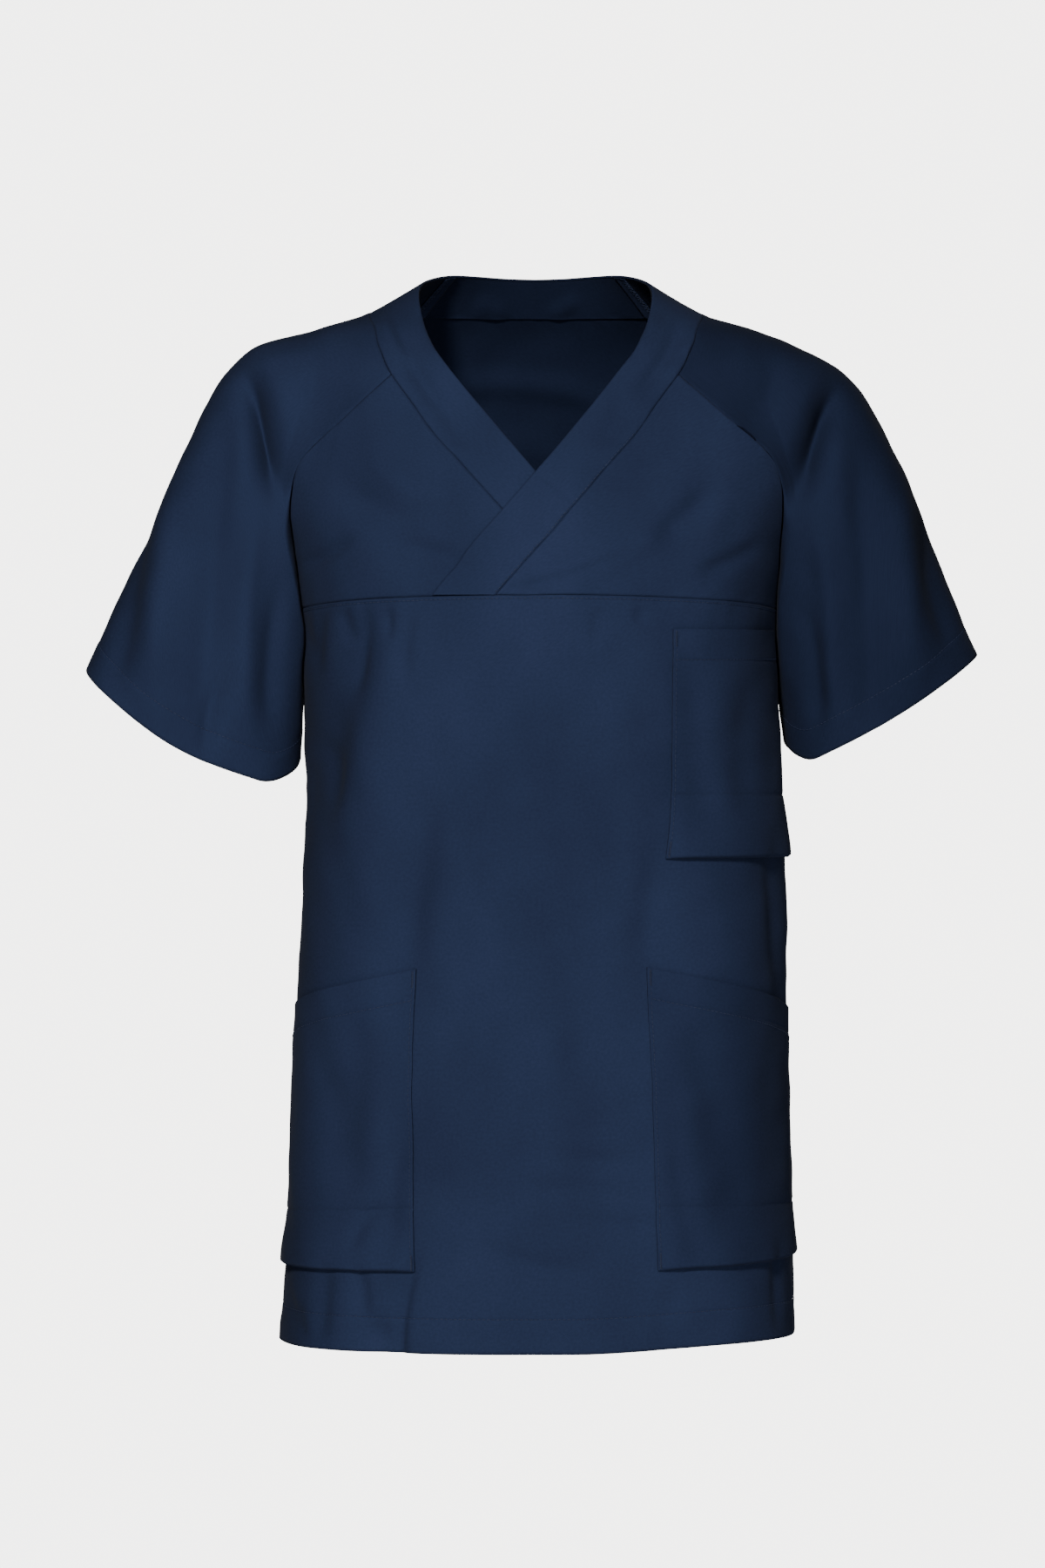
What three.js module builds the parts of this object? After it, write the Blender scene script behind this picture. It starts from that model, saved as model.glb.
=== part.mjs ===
// A short-sleeved medical scrub top, worn form with no wearer: a cross-over V neck with a sewn-on
// band, raglan sleeves, a seam under the chest, one chest pocket and two slanted side pockets.
// Millimetres, +Z up. The front faces -Y and the wearer's left is +X. The origin lies between the
// shoulders, at the height where they carry the top.
import * as THREE from "three";

const { clamp, lerp, smoothstep, degToRad } = THREE.MathUtils;

// Cloth and sewing.
const WALL = 1.3;
const BAND_WALL = 2.1;
const HEM_WALL = 2.3;
const SEAM_GAP = 0.6;
const HEM_DEPTH = 24;
const CUFF_HEM_DEPTH = 21;
const HEM_STEP = 1.2;

// Heights.
const HEM_Z = -710;
const HEM_RISE_LEFT = 5;
const UNDERARM_Z = -250;
const CHEST_SEAM_Z = -195;
const CHEST_SEAM_DROP = 7;

// The band and the layers where it crosses over.
const UNDER_LAYER = 3.2;
const UNDER_LAYER_RUN = { far: 50, near: 12 };
const BAND_LEAVES_CHEST = { from: 28, to: 48 };
const V_POINT = { x: 0, z: -110 };
const OVERLAP_END = { x: -75, z: -195 };

// How square the body's and the sleeves' sections are: 2 is an ellipse.
const BODY_SQUARE = 2.5;
const SLEEVE_SQUARE = 2.2;

// The sleeve where it meets the body.
const SLEEVE_CLEARANCE = 1.6;
const NECK_SEAM_TOP_DEG = 89;
const FOLDS_OVER_BODY = { from: -102, whollyFrom: -165 };
const SEAM_AWAY_UP = 0.6;
const CLEAR_BY = { from: 0.3, to: 0.6 };
// How sharply the sleeve's threads turn away from its seam, which runs almost along them.
const SEAM_LEFT_BY = 3;
const SLEEVE_BLEND = { high: 26, low: 7, highZ: -30, lowZ: -110 };

// Horizontal sections of the body: the middle of the width, half the width, and the depth from the
// side seams to the front and to the back.
const BODY = [
  { z: -711, centre: 2, half: 180, front: 132, back: 127 },
  { z: -640, centre: 3.5, half: 176.5, front: 132, back: 124 },
  { z: -500, centre: 4.5, half: 172, front: 132, back: 119 },
  { z: -400, centre: 6.5, half: 168.5, front: 132, back: 116 },
  { z: -323, centre: 5.5, half: 164.5, front: 132, back: 117 },
  { z: -250, centre: 3.5, half: 164, front: 132, back: 120 },
  { z: -200, centre: 2, half: 167, front: 131, back: 122 },
  { z: -165, centre: 1, half: 174, front: 128, back: 123 },
  { z: -128, centre: 0.5, half: 185, front: 121, back: 122 },
  { z: -90, centre: 0.5, half: 192, front: 110, back: 119 },
  { z: -60, centre: 0.5, half: 190, front: 99, back: 115 },
  { z: -40, centre: 0.5, half: 178, front: 91, back: 111 },
  { z: -20, centre: 0.5, half: 152, front: 82, back: 105 },
  { z: 0, centre: 0.5, half: 123, front: 73, back: 94 },
  { z: 10, centre: 0.5, half: 111, front: 68, back: 86 },
  { z: 40, centre: 0.5, half: 78, front: 50, back: 62 },
];

// Soft folds of the body, as lines in the front or back view. A negative depth is a trough.
const BODY_FOLDS = [
  { facing: "front", x1: -82, z1: -290, x2: -88, z2: -470, width: 24, depth: -5 },
  { facing: "front", x1: 82, z1: -360, x2: 76, z2: -470, width: 22, depth: -4 },
  { facing: "front", x1: -120, z1: -230, x2: -150, z2: -350, width: 26, depth: -4 },
  { facing: "front", x1: -40, z1: -260, x2: -20, z2: -560, width: 40, depth: 4 },
  { facing: "front", x1: 40, z1: -330, x2: 55, z2: -640, width: 30, depth: -3 },
  { facing: "front", x1: -110, z1: -690, x2: -95, z2: -730, width: 26, depth: -4 },
  { facing: "back", x1: -60, z1: -150, x2: -75, z2: -640, width: 30, depth: -8 },
  { facing: "back", x1: 64, z1: -170, x2: 82, z2: -660, width: 28, depth: -8 },
  { facing: "back", x1: 4, z1: -260, x2: -6, z2: -700, width: 34, depth: 6 },
];

// The seam between neck and band, from the chest seam up to the middle of the back. Angles run
// outwards from the middle of the front, and a negative one lies past it.
const NECK_SEAM = [
  { deg: -12.5, z: -195 },
  { deg: -3.7, z: -172.5 },
  { deg: 4, z: -154 },
  { deg: 11, z: -136 },
  { deg: 18.6, z: -118 },
  { deg: 26, z: -100.5 },
  { deg: 33, z: -85 },
  { deg: 41, z: -64 },
  { deg: 50, z: -42 },
  { deg: 58, z: -22 },
  { deg: 69, z: -4 },
  { deg: 90, z: 7 },
  { deg: 110, z: 9 },
  { deg: 131, z: 9.5 },
  { deg: 155, z: 10 },
  { deg: 180, z: 10 },
];
const NECK_ROW = { chestSeam: 0, raglanFront: 8, raglanBack: 13, middleBack: 15 };

// The band's free edge, over the same stretch, with its reach from the upright axis.
const FREE_EDGE = [
  { deg: -30, z: -195, reach: 150 },
  { deg: -23.5, z: -173, reach: 140 },
  { deg: -16.7, z: -152.5, reach: 131 },
  { deg: -8.5, z: -131, reach: 124 },
  { deg: 0, z: -110, reach: 119 },
  { deg: 13, z: -81, reach: 109 },
  { deg: 26, z: -54, reach: 107 },
  { deg: 37, z: -32, reach: 105 },
  { deg: 48, z: -14, reach: 99 },
  { deg: 59, z: 2, reach: 92 },
  { deg: 71, z: 15, reach: 86 },
  { deg: 86, z: 25, reach: 81 },
  { deg: 102, z: 31, reach: 78 },
  { deg: 118, z: 35.5, reach: 76 },
  { deg: 131, z: 37.5, reach: 74.5 },
  { deg: 146, z: 37.5, reach: 72 },
  { deg: 163, z: 36.5, reach: 69 },
  { deg: 180, z: 36, reach: 67 },
];
const EDGE_ROW = { chestSeam: 0, joint: 14, middleBack: 17 };

// The raglan seams, from the neck seam down to the underarm.
const RAGLAN_FRONT = [
  { deg: 50, z: -42 },
  { deg: 52, z: -50 },
  { deg: 55.3, z: -64 },
  { deg: 58.5, z: -76 },
  { deg: 62.5, z: -89 },
  { deg: 66.5, z: -103 },
  { deg: 69, z: -119 },
  { deg: 71, z: -137 },
  { deg: 73.5, z: -160 },
  { deg: 76, z: -182 },
  { deg: 78.7, z: -202 },
  { deg: 82, z: -225 },
  { deg: 86, z: -243 },
  { deg: 90, z: -250 },
];
const RAGLAN_ROW = { bend: 5, chestSeam: 10, underarm: 13 };
const RAGLAN_BACK = [
  { deg: 131, z: 9.5 },
  { deg: 128.5, z: -12 },
  { deg: 126, z: -36 },
  { deg: 122.5, z: -62 },
  { deg: 118.5, z: -88 },
  { deg: 114.5, z: -112 },
  { deg: 111, z: -136 },
  { deg: 108, z: -160 },
  { deg: 105, z: -184 },
  { deg: 101.5, z: -208 },
  { deg: 97, z: -232 },
  { deg: 93, z: -246 },
  { deg: 90, z: -250 },
];
const RAGLAN_BACK_UNDERARM = 12;

// Sleeve sections from the neck to the cuff. out and z are the upper outline, lean is the slope of
// the section's own line below the horizontal, half and depth its half sizes across, and fore how
// much further down the arm its front lies than its back.
const SLEEVES = {
  right: [
    { out: 114, z: 6, lean: 84, half: 40, depth: 62, middle: -4, fore: 0 },
    { out: 150, z: -5, lean: 75, half: 46, depth: 64, middle: -3, fore: 0 },
    { out: 191, z: -17, lean: 60, half: 54, depth: 66, middle: -2, fore: 0 },
    { out: 216, z: -36, lean: 46, half: 58, depth: 66, middle: -2, fore: 0 },
    { out: 232, z: -61, lean: 36, half: 61, depth: 66, middle: -2, fore: 0 },
    { out: 252, z: -104, lean: 28, half: 65, depth: 65, middle: -3, fore: 1 },
    { out: 277, z: -163, lean: 25, half: 71, depth: 62, middle: -4, fore: 6 },
    { out: 301, z: -215, lean: 27, half: 79, depth: 58, middle: -5, fore: 13 },
    { out: 313.5, z: -241, lean: 29.3, half: 85, depth: 55, middle: -5, fore: 18 },
  ],
  left: [
    { out: 115, z: 6, lean: 84, half: 40, depth: 62, middle: -4, fore: 0 },
    { out: 150, z: -5, lean: 75, half: 46, depth: 64, middle: -3, fore: 0 },
    { out: 190, z: -20.5, lean: 60, half: 54, depth: 66, middle: -2, fore: 0 },
    { out: 217, z: -37, lean: 46, half: 58, depth: 66, middle: -2, fore: 0 },
    { out: 235.5, z: -60, lean: 36, half: 60, depth: 66, middle: -2, fore: 0 },
    { out: 258, z: -103, lean: 28, half: 63, depth: 65, middle: -3, fore: 1 },
    { out: 279, z: -156, lean: 26, half: 67, depth: 62, middle: -4, fore: 3 },
    { out: 299, z: -207, lean: 28, half: 72, depth: 58, middle: -5, fore: 6 },
    { out: 308.7, z: -232, lean: 31, half: 77.5, depth: 55, middle: -5, fore: 8 },
  ],
};
const CUFF_ROW = 8;

// Folds of the sleeves in the same way: the crease from the shoulder to the armpit comes first.
const SLEEVE_FOLDS = {
  right: [
    { facing: "front", x1: -198, z1: -44, x2: -176, z2: -124, width: 16, depth: -12 },
    { facing: "front", x1: -250, z1: -120, x2: -262, z2: -250, width: 16, depth: 4 },
    { facing: "front", x1: -222, z1: -120, x2: -226, z2: -290, width: 16, depth: -4 },
    { facing: "back", x1: -196, z1: -60, x2: -178, z2: -150, width: 18, depth: -9 },
  ],
  left: [
    { facing: "front", x1: 208, z1: -52, x2: 178, z2: -124, width: 18, depth: -12 },
    { facing: "front", x1: 252, z1: -120, x2: 262, z2: -240, width: 16, depth: 4 },
    { facing: "front", x1: 226, z1: -120, x2: 232, z2: -270, width: 16, depth: -4 },
    { facing: "front", x1: 160, z1: -42, x2: 140, z2: -72, width: 12, depth: -3 },
    { facing: "back", x1: 196, z1: -60, x2: 178, z2: -150, width: 18, depth: -9 },
  ],
};
const FOLD_FADE = 0.3;
const FOLD_SIDE_FADE = 35;

// Pockets, by the angles and heights of their corners. turn is the depth of the hem at the mouth.
const POCKETS = [
  { name: "pocket_chest", side: "left", innerTop: 37.2, innerBottom: 34.7, topInner: -218, topOuter: -217,
    bottomInner: -374, bottomOuter: -374, across: 8, down: 8 },
  { name: "pocket_right", side: "right", innerTop: 35.8, innerBottom: 34.9, topInner: -449, topOuter: -480,
    bottomInner: -654.5, bottomOuter: -657, across: 9, down: 9 },
  { name: "pocket_left", side: "left", innerTop: 30.5, innerBottom: 32.8, topInner: -447.5, topOuter: -482,
    bottomInner: -653.5, bottomOuter: -649, across: 9, down: 9 },
];
const POCKET_OUTER_DEG = 88.6;
const POCKET_FROM_ARMHOLE = { deg: 4, z: 12, fadeOver: 20 };
const POCKET_TUCK = 43;
const POCKET_WALL = { bottom: 2.8, tuck: 2.2 };
const POCKET_LIFT = { sewn: 2.5, middle: 1.0, mouth: 0.8, bottom: 2.4 };
const POCKET_GAP = 1.1;

// How finely the pieces are divided.
const DIVIDE = {
  sideSeam: 19,
  armholeLow: 4,
  yokeUp: 8,
  yokeAcross: 7,
  frontAcross: 22,
  backAcross: 22,
  backRaglan: 13,
  neckOnSleeve: 8,
  sleeveDown: 15,
  bandAcross: 3,
};

const BAND_JOINT = DIVIDE.yokeUp + DIVIDE.neckOnSleeve;
const SIDES = { right: -1, left: 1 };
const NAVY = { cloth: 0x24344e, band: 0x24344e, pocket: 0x223149 };

// A smooth line through four values, between the middle two.
function spline(a, b, c, d, t) {
  return b + 0.5 * t * (c - a + t * (2 * a - 5 * b + 4 * c - d + t * (3 * (b - c) + d - a)));
}

// A smooth path through a table's rows, asked for by row number.
function path(rows) {
  const last = rows.length - 1;
  const value = (k, name) => {
    if (k < 0) return 2 * rows[0][name] - rows[1][name];
    if (k > last) return 2 * rows[last][name] - rows[last - 1][name];
    return rows[k][name];
  };
  return (at) => {
    const i = clamp(Math.floor(at), 0, last - 1);
    const made = {};
    for (const name of Object.keys(rows[0])) {
      const near = [i - 1, i, i + 1, i + 2].map((k) => value(k, name));
      made[name] = spline(...near, at - i);
    }
    return made;
  };
}

// A table's columns at any height, smoothly, with the slope at a row taken from both neighbours.
function byHeight(rows) {
  const names = Object.keys(rows[0]).filter((name) => name !== "z");
  const last = rows.length - 1;
  const slope = (k, name) => {
    const step = (i) => (rows[i + 1][name] - rows[i][name]) / (rows[i + 1].z - rows[i].z);
    if (k === 0) return step(0);
    if (k === last) return step(last - 1);
    const below = rows[k].z - rows[k - 1].z;
    const above = rows[k + 1].z - rows[k].z;
    return (step(k - 1) * above + step(k) * below) / (above + below);
  };
  return (z) => {
    let i = 0;
    while (i < last - 1 && z > rows[i + 1].z) i += 1;
    const span = rows[i + 1].z - rows[i].z;
    const t = clamp((z - rows[i].z) / span, 0, 1);
    const made = {};
    for (const name of names) {
      const [from, to] = [rows[i][name], rows[i + 1][name]];
      const [m0, m1] = [slope(i, name) * span, slope(i + 1, name) * span];
      const t2 = t * t;
      const t3 = t2 * t;
      made[name] = (2 * t3 - 3 * t2 + 1) * from + (t3 - 2 * t2 + t) * m0
        + (3 * t2 - 2 * t3) * to + (t3 - t2) * m1;
    }
    return made;
  };
}

// How far a point of the front or back view is raised or sunk by the folds.
function foldHeight(folds, x, y, z) {
  let sum = 0;
  for (const fold of folds) {
    const ahead = fold.facing === "front" ? -y : y;
    if (ahead <= 0) continue;
    const [dx, dz] = [fold.x2 - fold.x1, fold.z2 - fold.z1];
    const long = Math.hypot(dx, dz);
    const along = ((x - fold.x1) * dx + (z - fold.z1) * dz) / long ** 2;
    const off = Math.abs((x - fold.x1) * dz - (z - fold.z1) * dx) / long;
    const starting = smoothstep(along, -FOLD_FADE, FOLD_FADE);
    const ends = starting * (1 - smoothstep(along, 1 - FOLD_FADE, 1 + FOLD_FADE));
    sum += fold.depth * Math.exp(-((off / fold.width) ** 2)) * ends * smoothstep(ahead, 0, FOLD_SIDE_FADE);
  }
  return sum;
}

// The reach of a squared ellipse, from a direction's shares of its two half sizes.
function superReach(a, b, square) {
  return (Math.abs(a) ** square + Math.abs(b) ** square) ** (-1 / square);
}

const bodyAt = byHeight(BODY);

// The body's reach from its upright axis, in a direction given by its sine and cosine.
function bodyReach(sine, cosine, z) {
  const at = bodyAt(z);
  const depth = cosine > 0 ? at.front : at.back;
  const reach = superReach(sine / at.half, cosine / depth, BODY_SQUARE);
  return reach + foldHeight(BODY_FOLDS, at.centre + reach * sine, -reach * cosine, z);
}

// A point of the body's outer face. deg is 0 at the middle of the front and positive to the left.
function onBody(deg, z, inwards = 0) {
  const angle = degToRad(deg);
  const [sine, cosine] = [Math.sin(angle), Math.cos(angle)];
  const reach = bodyReach(sine, cosine, z) - inwards;
  return new THREE.Vector3(bodyAt(z).centre + reach * sine, -reach * cosine, z);
}

// The body's outward direction at a point.
function bodyNormal(deg, z) {
  const step = 1.5;
  const across = onBody(deg + step, z).sub(onBody(deg - step, z));
  const up = onBody(deg, z + step).sub(onBody(deg, z - step));
  return across.cross(up).normalize();
}

// Row numbers along a path, for points evenly spaced along it on the body.
function evenRows(table, from, to, parts, place = onBody) {
  const along = path(table);
  const fine = 240;
  const rows = Array.from({ length: fine + 1 }, (_, k) => lerp(from, to, k / fine));
  const points = rows.map((row) => {
    const at = along(row);
    return place(at.deg, at.z);
  });
  const travelled = [0];
  for (let k = 1; k <= fine; k += 1) travelled.push(travelled[k - 1] + points[k].distanceTo(points[k - 1]));
  const made = [];
  let k = 1;
  for (let part = 0; part <= parts; part += 1) {
    const goal = (travelled[fine] * part) / parts;
    while (k < fine && travelled[k] < goal) k += 1;
    const share = (goal - travelled[k - 1]) / (travelled[k] - travelled[k - 1]);
    made.push(lerp(rows[k - 1], rows[k], share));
  }
  return made;
}

// Evenly spaced places, as angle and height, along one of the seams on one side.
function seam(table, side, from, to, parts) {
  const along = path(table);
  return evenRows(table, from, to, parts).map((row) => {
    const at = along(row);
    return { deg: SIDES[side] * at.deg, z: at.z };
  });
}

function chestSeamZ(deg) {
  const corner = RAGLAN_FRONT[RAGLAN_ROW.chestSeam].deg;
  return CHEST_SEAM_Z - CHEST_SEAM_DROP * (deg / corner) ** 2;
}

function chestSeam(fromDeg, toDeg, parts) {
  return Array.from({ length: parts + 1 }, (_, k) => {
    const deg = lerp(fromDeg, toDeg, k / parts);
    return { deg, z: chestSeamZ(deg) };
  });
}

// A four-sided patch of places, from its four edges. bottom and top run the same way, and so do
// left and right, which go up.
function patch(bottom, top, left, right) {
  const [rows, columns] = [left.length - 1, bottom.length - 1];
  return left.map((_, i) => bottom.map((__, j) => {
    const [u, v] = [j / columns, i / rows];
    const mix = (name) => lerp(bottom[j][name], top[j][name], v) + lerp(left[i][name], right[i][name], u)
      - lerp(lerp(bottom[0][name], bottom[columns][name], u), lerp(top[0][name], top[columns][name], u), v);
    return { deg: mix("deg"), z: mix("z") };
  }));
}

// Draws the outline of a grid of points in by half a seam gap, across each of its edges.
function drawnIn(grid) {
  const [last, right] = [grid.length - 1, grid[0].length - 1];
  const moves = grid.map((row) => row.map(() => new THREE.Vector3()));
  const pull = (i, j, before, after, inner) => {
    const along = after.point.clone().sub(before.point).normalize();
    const inwards = inner.point.clone().sub(grid[i][j].point);
    inwards.addScaledVector(along, -inwards.dot(along)).normalize();
    moves[i][j].addScaledVector(inwards, SEAM_GAP / 2);
  };
  grid[0].forEach((_, j) => {
    const [before, after] = [Math.max(j - 1, 0), Math.min(j + 1, right)];
    pull(0, j, grid[0][before], grid[0][after], grid[1][j]);
    pull(last, j, grid[last][before], grid[last][after], grid[last - 1][j]);
  });
  grid.forEach((row, i) => {
    const [below, above] = [grid[Math.max(i - 1, 0)], grid[Math.min(i + 1, last)]];
    pull(i, 0, below[0], above[0], row[1]);
    pull(i, right, below[right], above[right], row[right - 1]);
  });
  grid.forEach((row, i) => row.forEach((node, j) => node.point.add(moves[i][j])));
  return grid;
}

// A cloth wall as one closed body: the outer face through the grid's points, the inner face a wall's
// thickness behind it, and a rim round each open edge. Both faces split their squares along the same
// diagonal, so that they don't cross where a square is twisted.
function wall(grid, thickness, closed = false) {
  const [rows, width] = [grid.length, grid[0].length];
  const columns = closed ? width : width - 1;
  const positions = [];
  const inner = rows * width;
  grid.forEach((row) => row.forEach((node) => positions.push(...node.point.toArray())));
  grid.forEach((row, i) => row.forEach((node, j) => {
    const back = node.point.clone().addScaledVector(node.normal, -thickness(i, j));
    positions.push(...back.toArray());
  }));
  const at = (i, j) => i * width + (j % width);
  const faces = [];
  const square = (a, b, c, d) => faces.push(a, b, c, a, c, d);
  for (let i = 0; i < rows - 1; i += 1) {
    for (let j = 0; j < columns; j += 1) {
      const [a, b, c, d] = [at(i, j), at(i, j + 1), at(i + 1, j + 1), at(i + 1, j)];
      square(a, b, c, d);
      square(a + inner, d + inner, c + inner, b + inner);
    }
  }
  const rim = (a, b) => square(b, a, a + inner, b + inner);
  for (let j = 0; j < columns; j += 1) {
    rim(at(0, j), at(0, j + 1));
    rim(at(rows - 1, j + 1), at(rows - 1, j));
  }
  for (let i = 0; i < rows - 1 && !closed; i += 1) {
    rim(at(i + 1, 0), at(i, 0));
    rim(at(i, columns), at(i + 1, columns));
  }
  const geometry = new THREE.BufferGeometry();
  geometry.setAttribute("position", new THREE.Float32BufferAttribute(positions, 3));
  geometry.setIndex(faces);
  geometry.computeVertexNormals();
  return geometry;
}

// The outward direction at each point of a grid, from its neighbours.
function gridNormals(grid, closed = false) {
  const [rows, width] = [grid.length, grid[0].length];
  return grid.map((row, i) => row.map((_, j) => {
    const right = closed ? (j + 1) % width : Math.min(j + 1, width - 1);
    const left = closed ? (j + width - 1) % width : Math.max(j - 1, 0);
    const across = grid[i][right].point.clone().sub(grid[i][left].point);
    const up = grid[Math.min(i + 1, rows - 1)][j].point.clone().sub(grid[Math.max(i - 1, 0)][j].point);
    return across.cross(up).normalize();
  }));
}

// How far a place of the under layer is pressed in by the layer that crosses over it.
function pressedIn(deg, z) {
  const point = onBody(deg, z);
  const [dx, dz] = [OVERLAP_END.x - V_POINT.x, OVERLAP_END.z - V_POINT.z];
  const past = ((point.x - V_POINT.x) * -dz + (point.z - V_POINT.z) * dx) / Math.hypot(dx, dz);
  return UNDER_LAYER * smoothstep(past, -UNDER_LAYER_RUN.far, -UNDER_LAYER_RUN.near);
}

// A panel cut from the body's outer face.
function bodyPanel(places, { under = false, thickness = () => WALL } = {}) {
  const grid = places.map((row) => row.map(({ deg, z }) => ({
    point: onBody(deg, z, under ? pressedIn(deg, z) : 0),
    normal: bodyNormal(deg, z),
  })));
  return wall(drawnIn(grid), thickness);
}

// The height of the hem's edge, which lifts a little at the wearer's left side.
const hemZ = (deg) => HEM_Z + HEM_RISE_LEFT * smoothstep(Math.sin(degToRad(deg)), 0.2, 0.9);

const hemEdge = (fromDeg, toDeg, parts) => Array.from({ length: parts + 1 }, (_, k) => {
  const deg = lerp(fromDeg, toDeg, k / parts);
  return { deg, z: hemZ(deg) };
});

// Heights of the side seam from the hem up to the underarm, with a close pair at the hem's top.
function sideSeamHeights(side) {
  const low = hemZ(SIDES[side] * 90);
  const top = low + HEM_DEPTH;
  const rest = DIVIDE.sideSeam - 2;
  const heights = [low, top];
  for (let k = 0; k <= rest; k += 1) heights.push(lerp(top + HEM_STEP, UNDERARM_Z, k / rest));
  return heights;
}

// One side edge of the front or back: the side seam, and then the raglan seam above it.
function sideEdge(side, raglan) {
  const up = sideSeamHeights(side).map((z) => ({ deg: SIDES[side] * 90, z }));
  return [...up, ...raglan.slice(1)];
}

const isHemRow = (i) => i <= 1;

// The armhole below the chest seam, upwards.
function lowArmhole(side) {
  return seam(RAGLAN_FRONT, side, RAGLAN_ROW.underarm, RAGLAN_ROW.chestSeam, DIVIDE.armholeLow);
}

function frontPanel() {
  const corner = RAGLAN_FRONT[RAGLAN_ROW.chestSeam].deg;
  const across = DIVIDE.frontAcross;
  const hem = hemEdge(-90, 90, across);
  const top = chestSeam(-corner, corner, across);
  const [right, left] = ["right", "left"].map((side) => sideEdge(side, lowArmhole(side)));
  const places = patch(hem, top, right, left);
  return bodyPanel(places, { thickness: (i) => (isHemRow(i) ? HEM_WALL : WALL) });
}

function backRaglan(side) {
  return seam(RAGLAN_BACK, side, RAGLAN_BACK_UNDERARM, 0, DIVIDE.backRaglan);
}

// Angles of the left side run on past 180 degrees, so that the back has no jump in them.
const roundTheBack = (places) => places.map(({ deg, z }) => ({ deg: deg < 0 ? deg + 360 : deg, z }));

function neckAtBack() {
  const parts = DIVIDE.backAcross / 2;
  const half = seam(NECK_SEAM, "left", NECK_ROW.raglanBack, NECK_ROW.middleBack, parts);
  const other = half.slice(0, -1).reverse().map(({ deg, z }) => ({ deg: 360 - deg, z }));
  return [...half, ...other];
}

function backPanel() {
  const across = DIVIDE.backAcross;
  const hem = hemEdge(90, 270, across);
  const [left, right] = ["left", "right"].map((side) => roundTheBack(sideEdge(side, backRaglan(side))));
  const places = patch(hem, neckAtBack(), left, right);
  return bodyPanel(places, { thickness: (i) => (isHemRow(i) ? HEM_WALL : WALL) });
}

function yoke(side) {
  const out = SIDES[side];
  const corner = RAGLAN_FRONT[RAGLAN_ROW.chestSeam].deg;
  const neckEnd = NECK_SEAM[NECK_ROW.chestSeam].deg;
  const edges = {
    bottom: chestSeam(out * corner, out * neckEnd, DIVIDE.yokeAcross),
    top: seam(RAGLAN_FRONT, side, RAGLAN_ROW.bend, 0, DIVIDE.yokeAcross),
    outer: seam(RAGLAN_FRONT, side, RAGLAN_ROW.chestSeam, RAGLAN_ROW.bend, DIVIDE.yokeUp),
    inner: seam(NECK_SEAM, side, NECK_ROW.chestSeam, NECK_ROW.raglanFront, DIVIDE.yokeUp),
  };
  const places = patch(edges.bottom, edges.top, edges.outer, edges.inner);
  const facing = side === "right" ? places : places.map((row) => row.reverse());
  return bodyPanel(facing, { under: side === "right" });
}

// The neck band, as angle, height and reach, at a place between its seam and its free edge.
function bandPoint(seamAt, edgeAt, share, side) {
  const deg = lerp(seamAt.deg, edgeAt.deg, share);
  const z = lerp(seamAt.z, edgeAt.z, share);
  const sign = SIDES[side];
  const onChest = onBody(sign * deg, z, side === "right" ? pressedIn(sign * deg, z) : 0);
  const start = onBody(sign * seamAt.deg, seamAt.z);
  const centre = bodyAt(seamAt.z).centre;
  const startReach = Math.hypot(start.x - centre, start.y);
  const reach = lerp(startReach, edgeAt.reach, share);
  const angle = degToRad(sign * deg);
  const free = new THREE.Vector3(centre + reach * Math.sin(angle), -reach * Math.cos(angle), z);
  return onChest.lerp(free, smoothstep(deg, BAND_LEAVES_CHEST.from, BAND_LEAVES_CHEST.to));
}

// Half of the neck band from the chest seam to the middle of the back, as rows of points from its
// seam to its free edge, each with its outward direction.
function halfBand(side) {
  const acrossBack = DIVIDE.backAcross / 2;
  const seamRows = [
    ...evenRows(NECK_SEAM, NECK_ROW.chestSeam, NECK_ROW.raglanFront, DIVIDE.yokeUp),
    ...evenRows(NECK_SEAM, NECK_ROW.raglanFront, NECK_ROW.raglanBack, DIVIDE.neckOnSleeve).slice(1),
    ...evenRows(NECK_SEAM, NECK_ROW.raglanBack, NECK_ROW.middleBack, acrossBack).slice(1),
  ];
  const edgeRows = [
    ...evenRows(FREE_EDGE, EDGE_ROW.chestSeam, EDGE_ROW.joint, BAND_JOINT),
    ...evenRows(FREE_EDGE, EDGE_ROW.joint, EDGE_ROW.middleBack, acrossBack).slice(1),
  ];
  const [seamPath, edgePath] = [path(NECK_SEAM), path(FREE_EDGE)];
  const sign = SIDES[side];
  const grid = Array.from({ length: DIVIDE.bandAcross + 1 }, (_, i) => seamRows.map((row, k) => {
    const [seamAt, edgeAt] = [seamPath(row), edgePath(edgeRows[k])];
    const point = bandPoint(seamAt, edgeAt, i / DIVIDE.bandAcross, side);
    return { point, deg: sign * seamAt.deg, z: seamAt.z };
  }));
  const normals = gridNormals(grid);
  grid.forEach((row, i) => row.forEach((node, k) => {
    node.normal = i === 0 ? bodyNormal(node.deg, node.z) : normals[i][k].multiplyScalar(sign);
  }));
  return grid;
}

const bandWall = (grid) => wall(drawnIn(grid), () => BAND_WALL);

function frontBand(side) {
  const grid = halfBand(side).map((row) => row.slice(0, BAND_JOINT + 1));
  return bandWall(side === "right" ? grid.map((row) => row.reverse()) : grid);
}

function backBand() {
  const [left, right] = ["left", "right"].map((side) => halfBand(side).map((row) => row.slice(BAND_JOINT)));
  left.forEach((row) => row.at(-1).normal.setX(0).normalize());
  return bandWall(left.map((row, i) => [...row, ...right[i].slice(0, -1).reverse()]));
}

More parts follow.
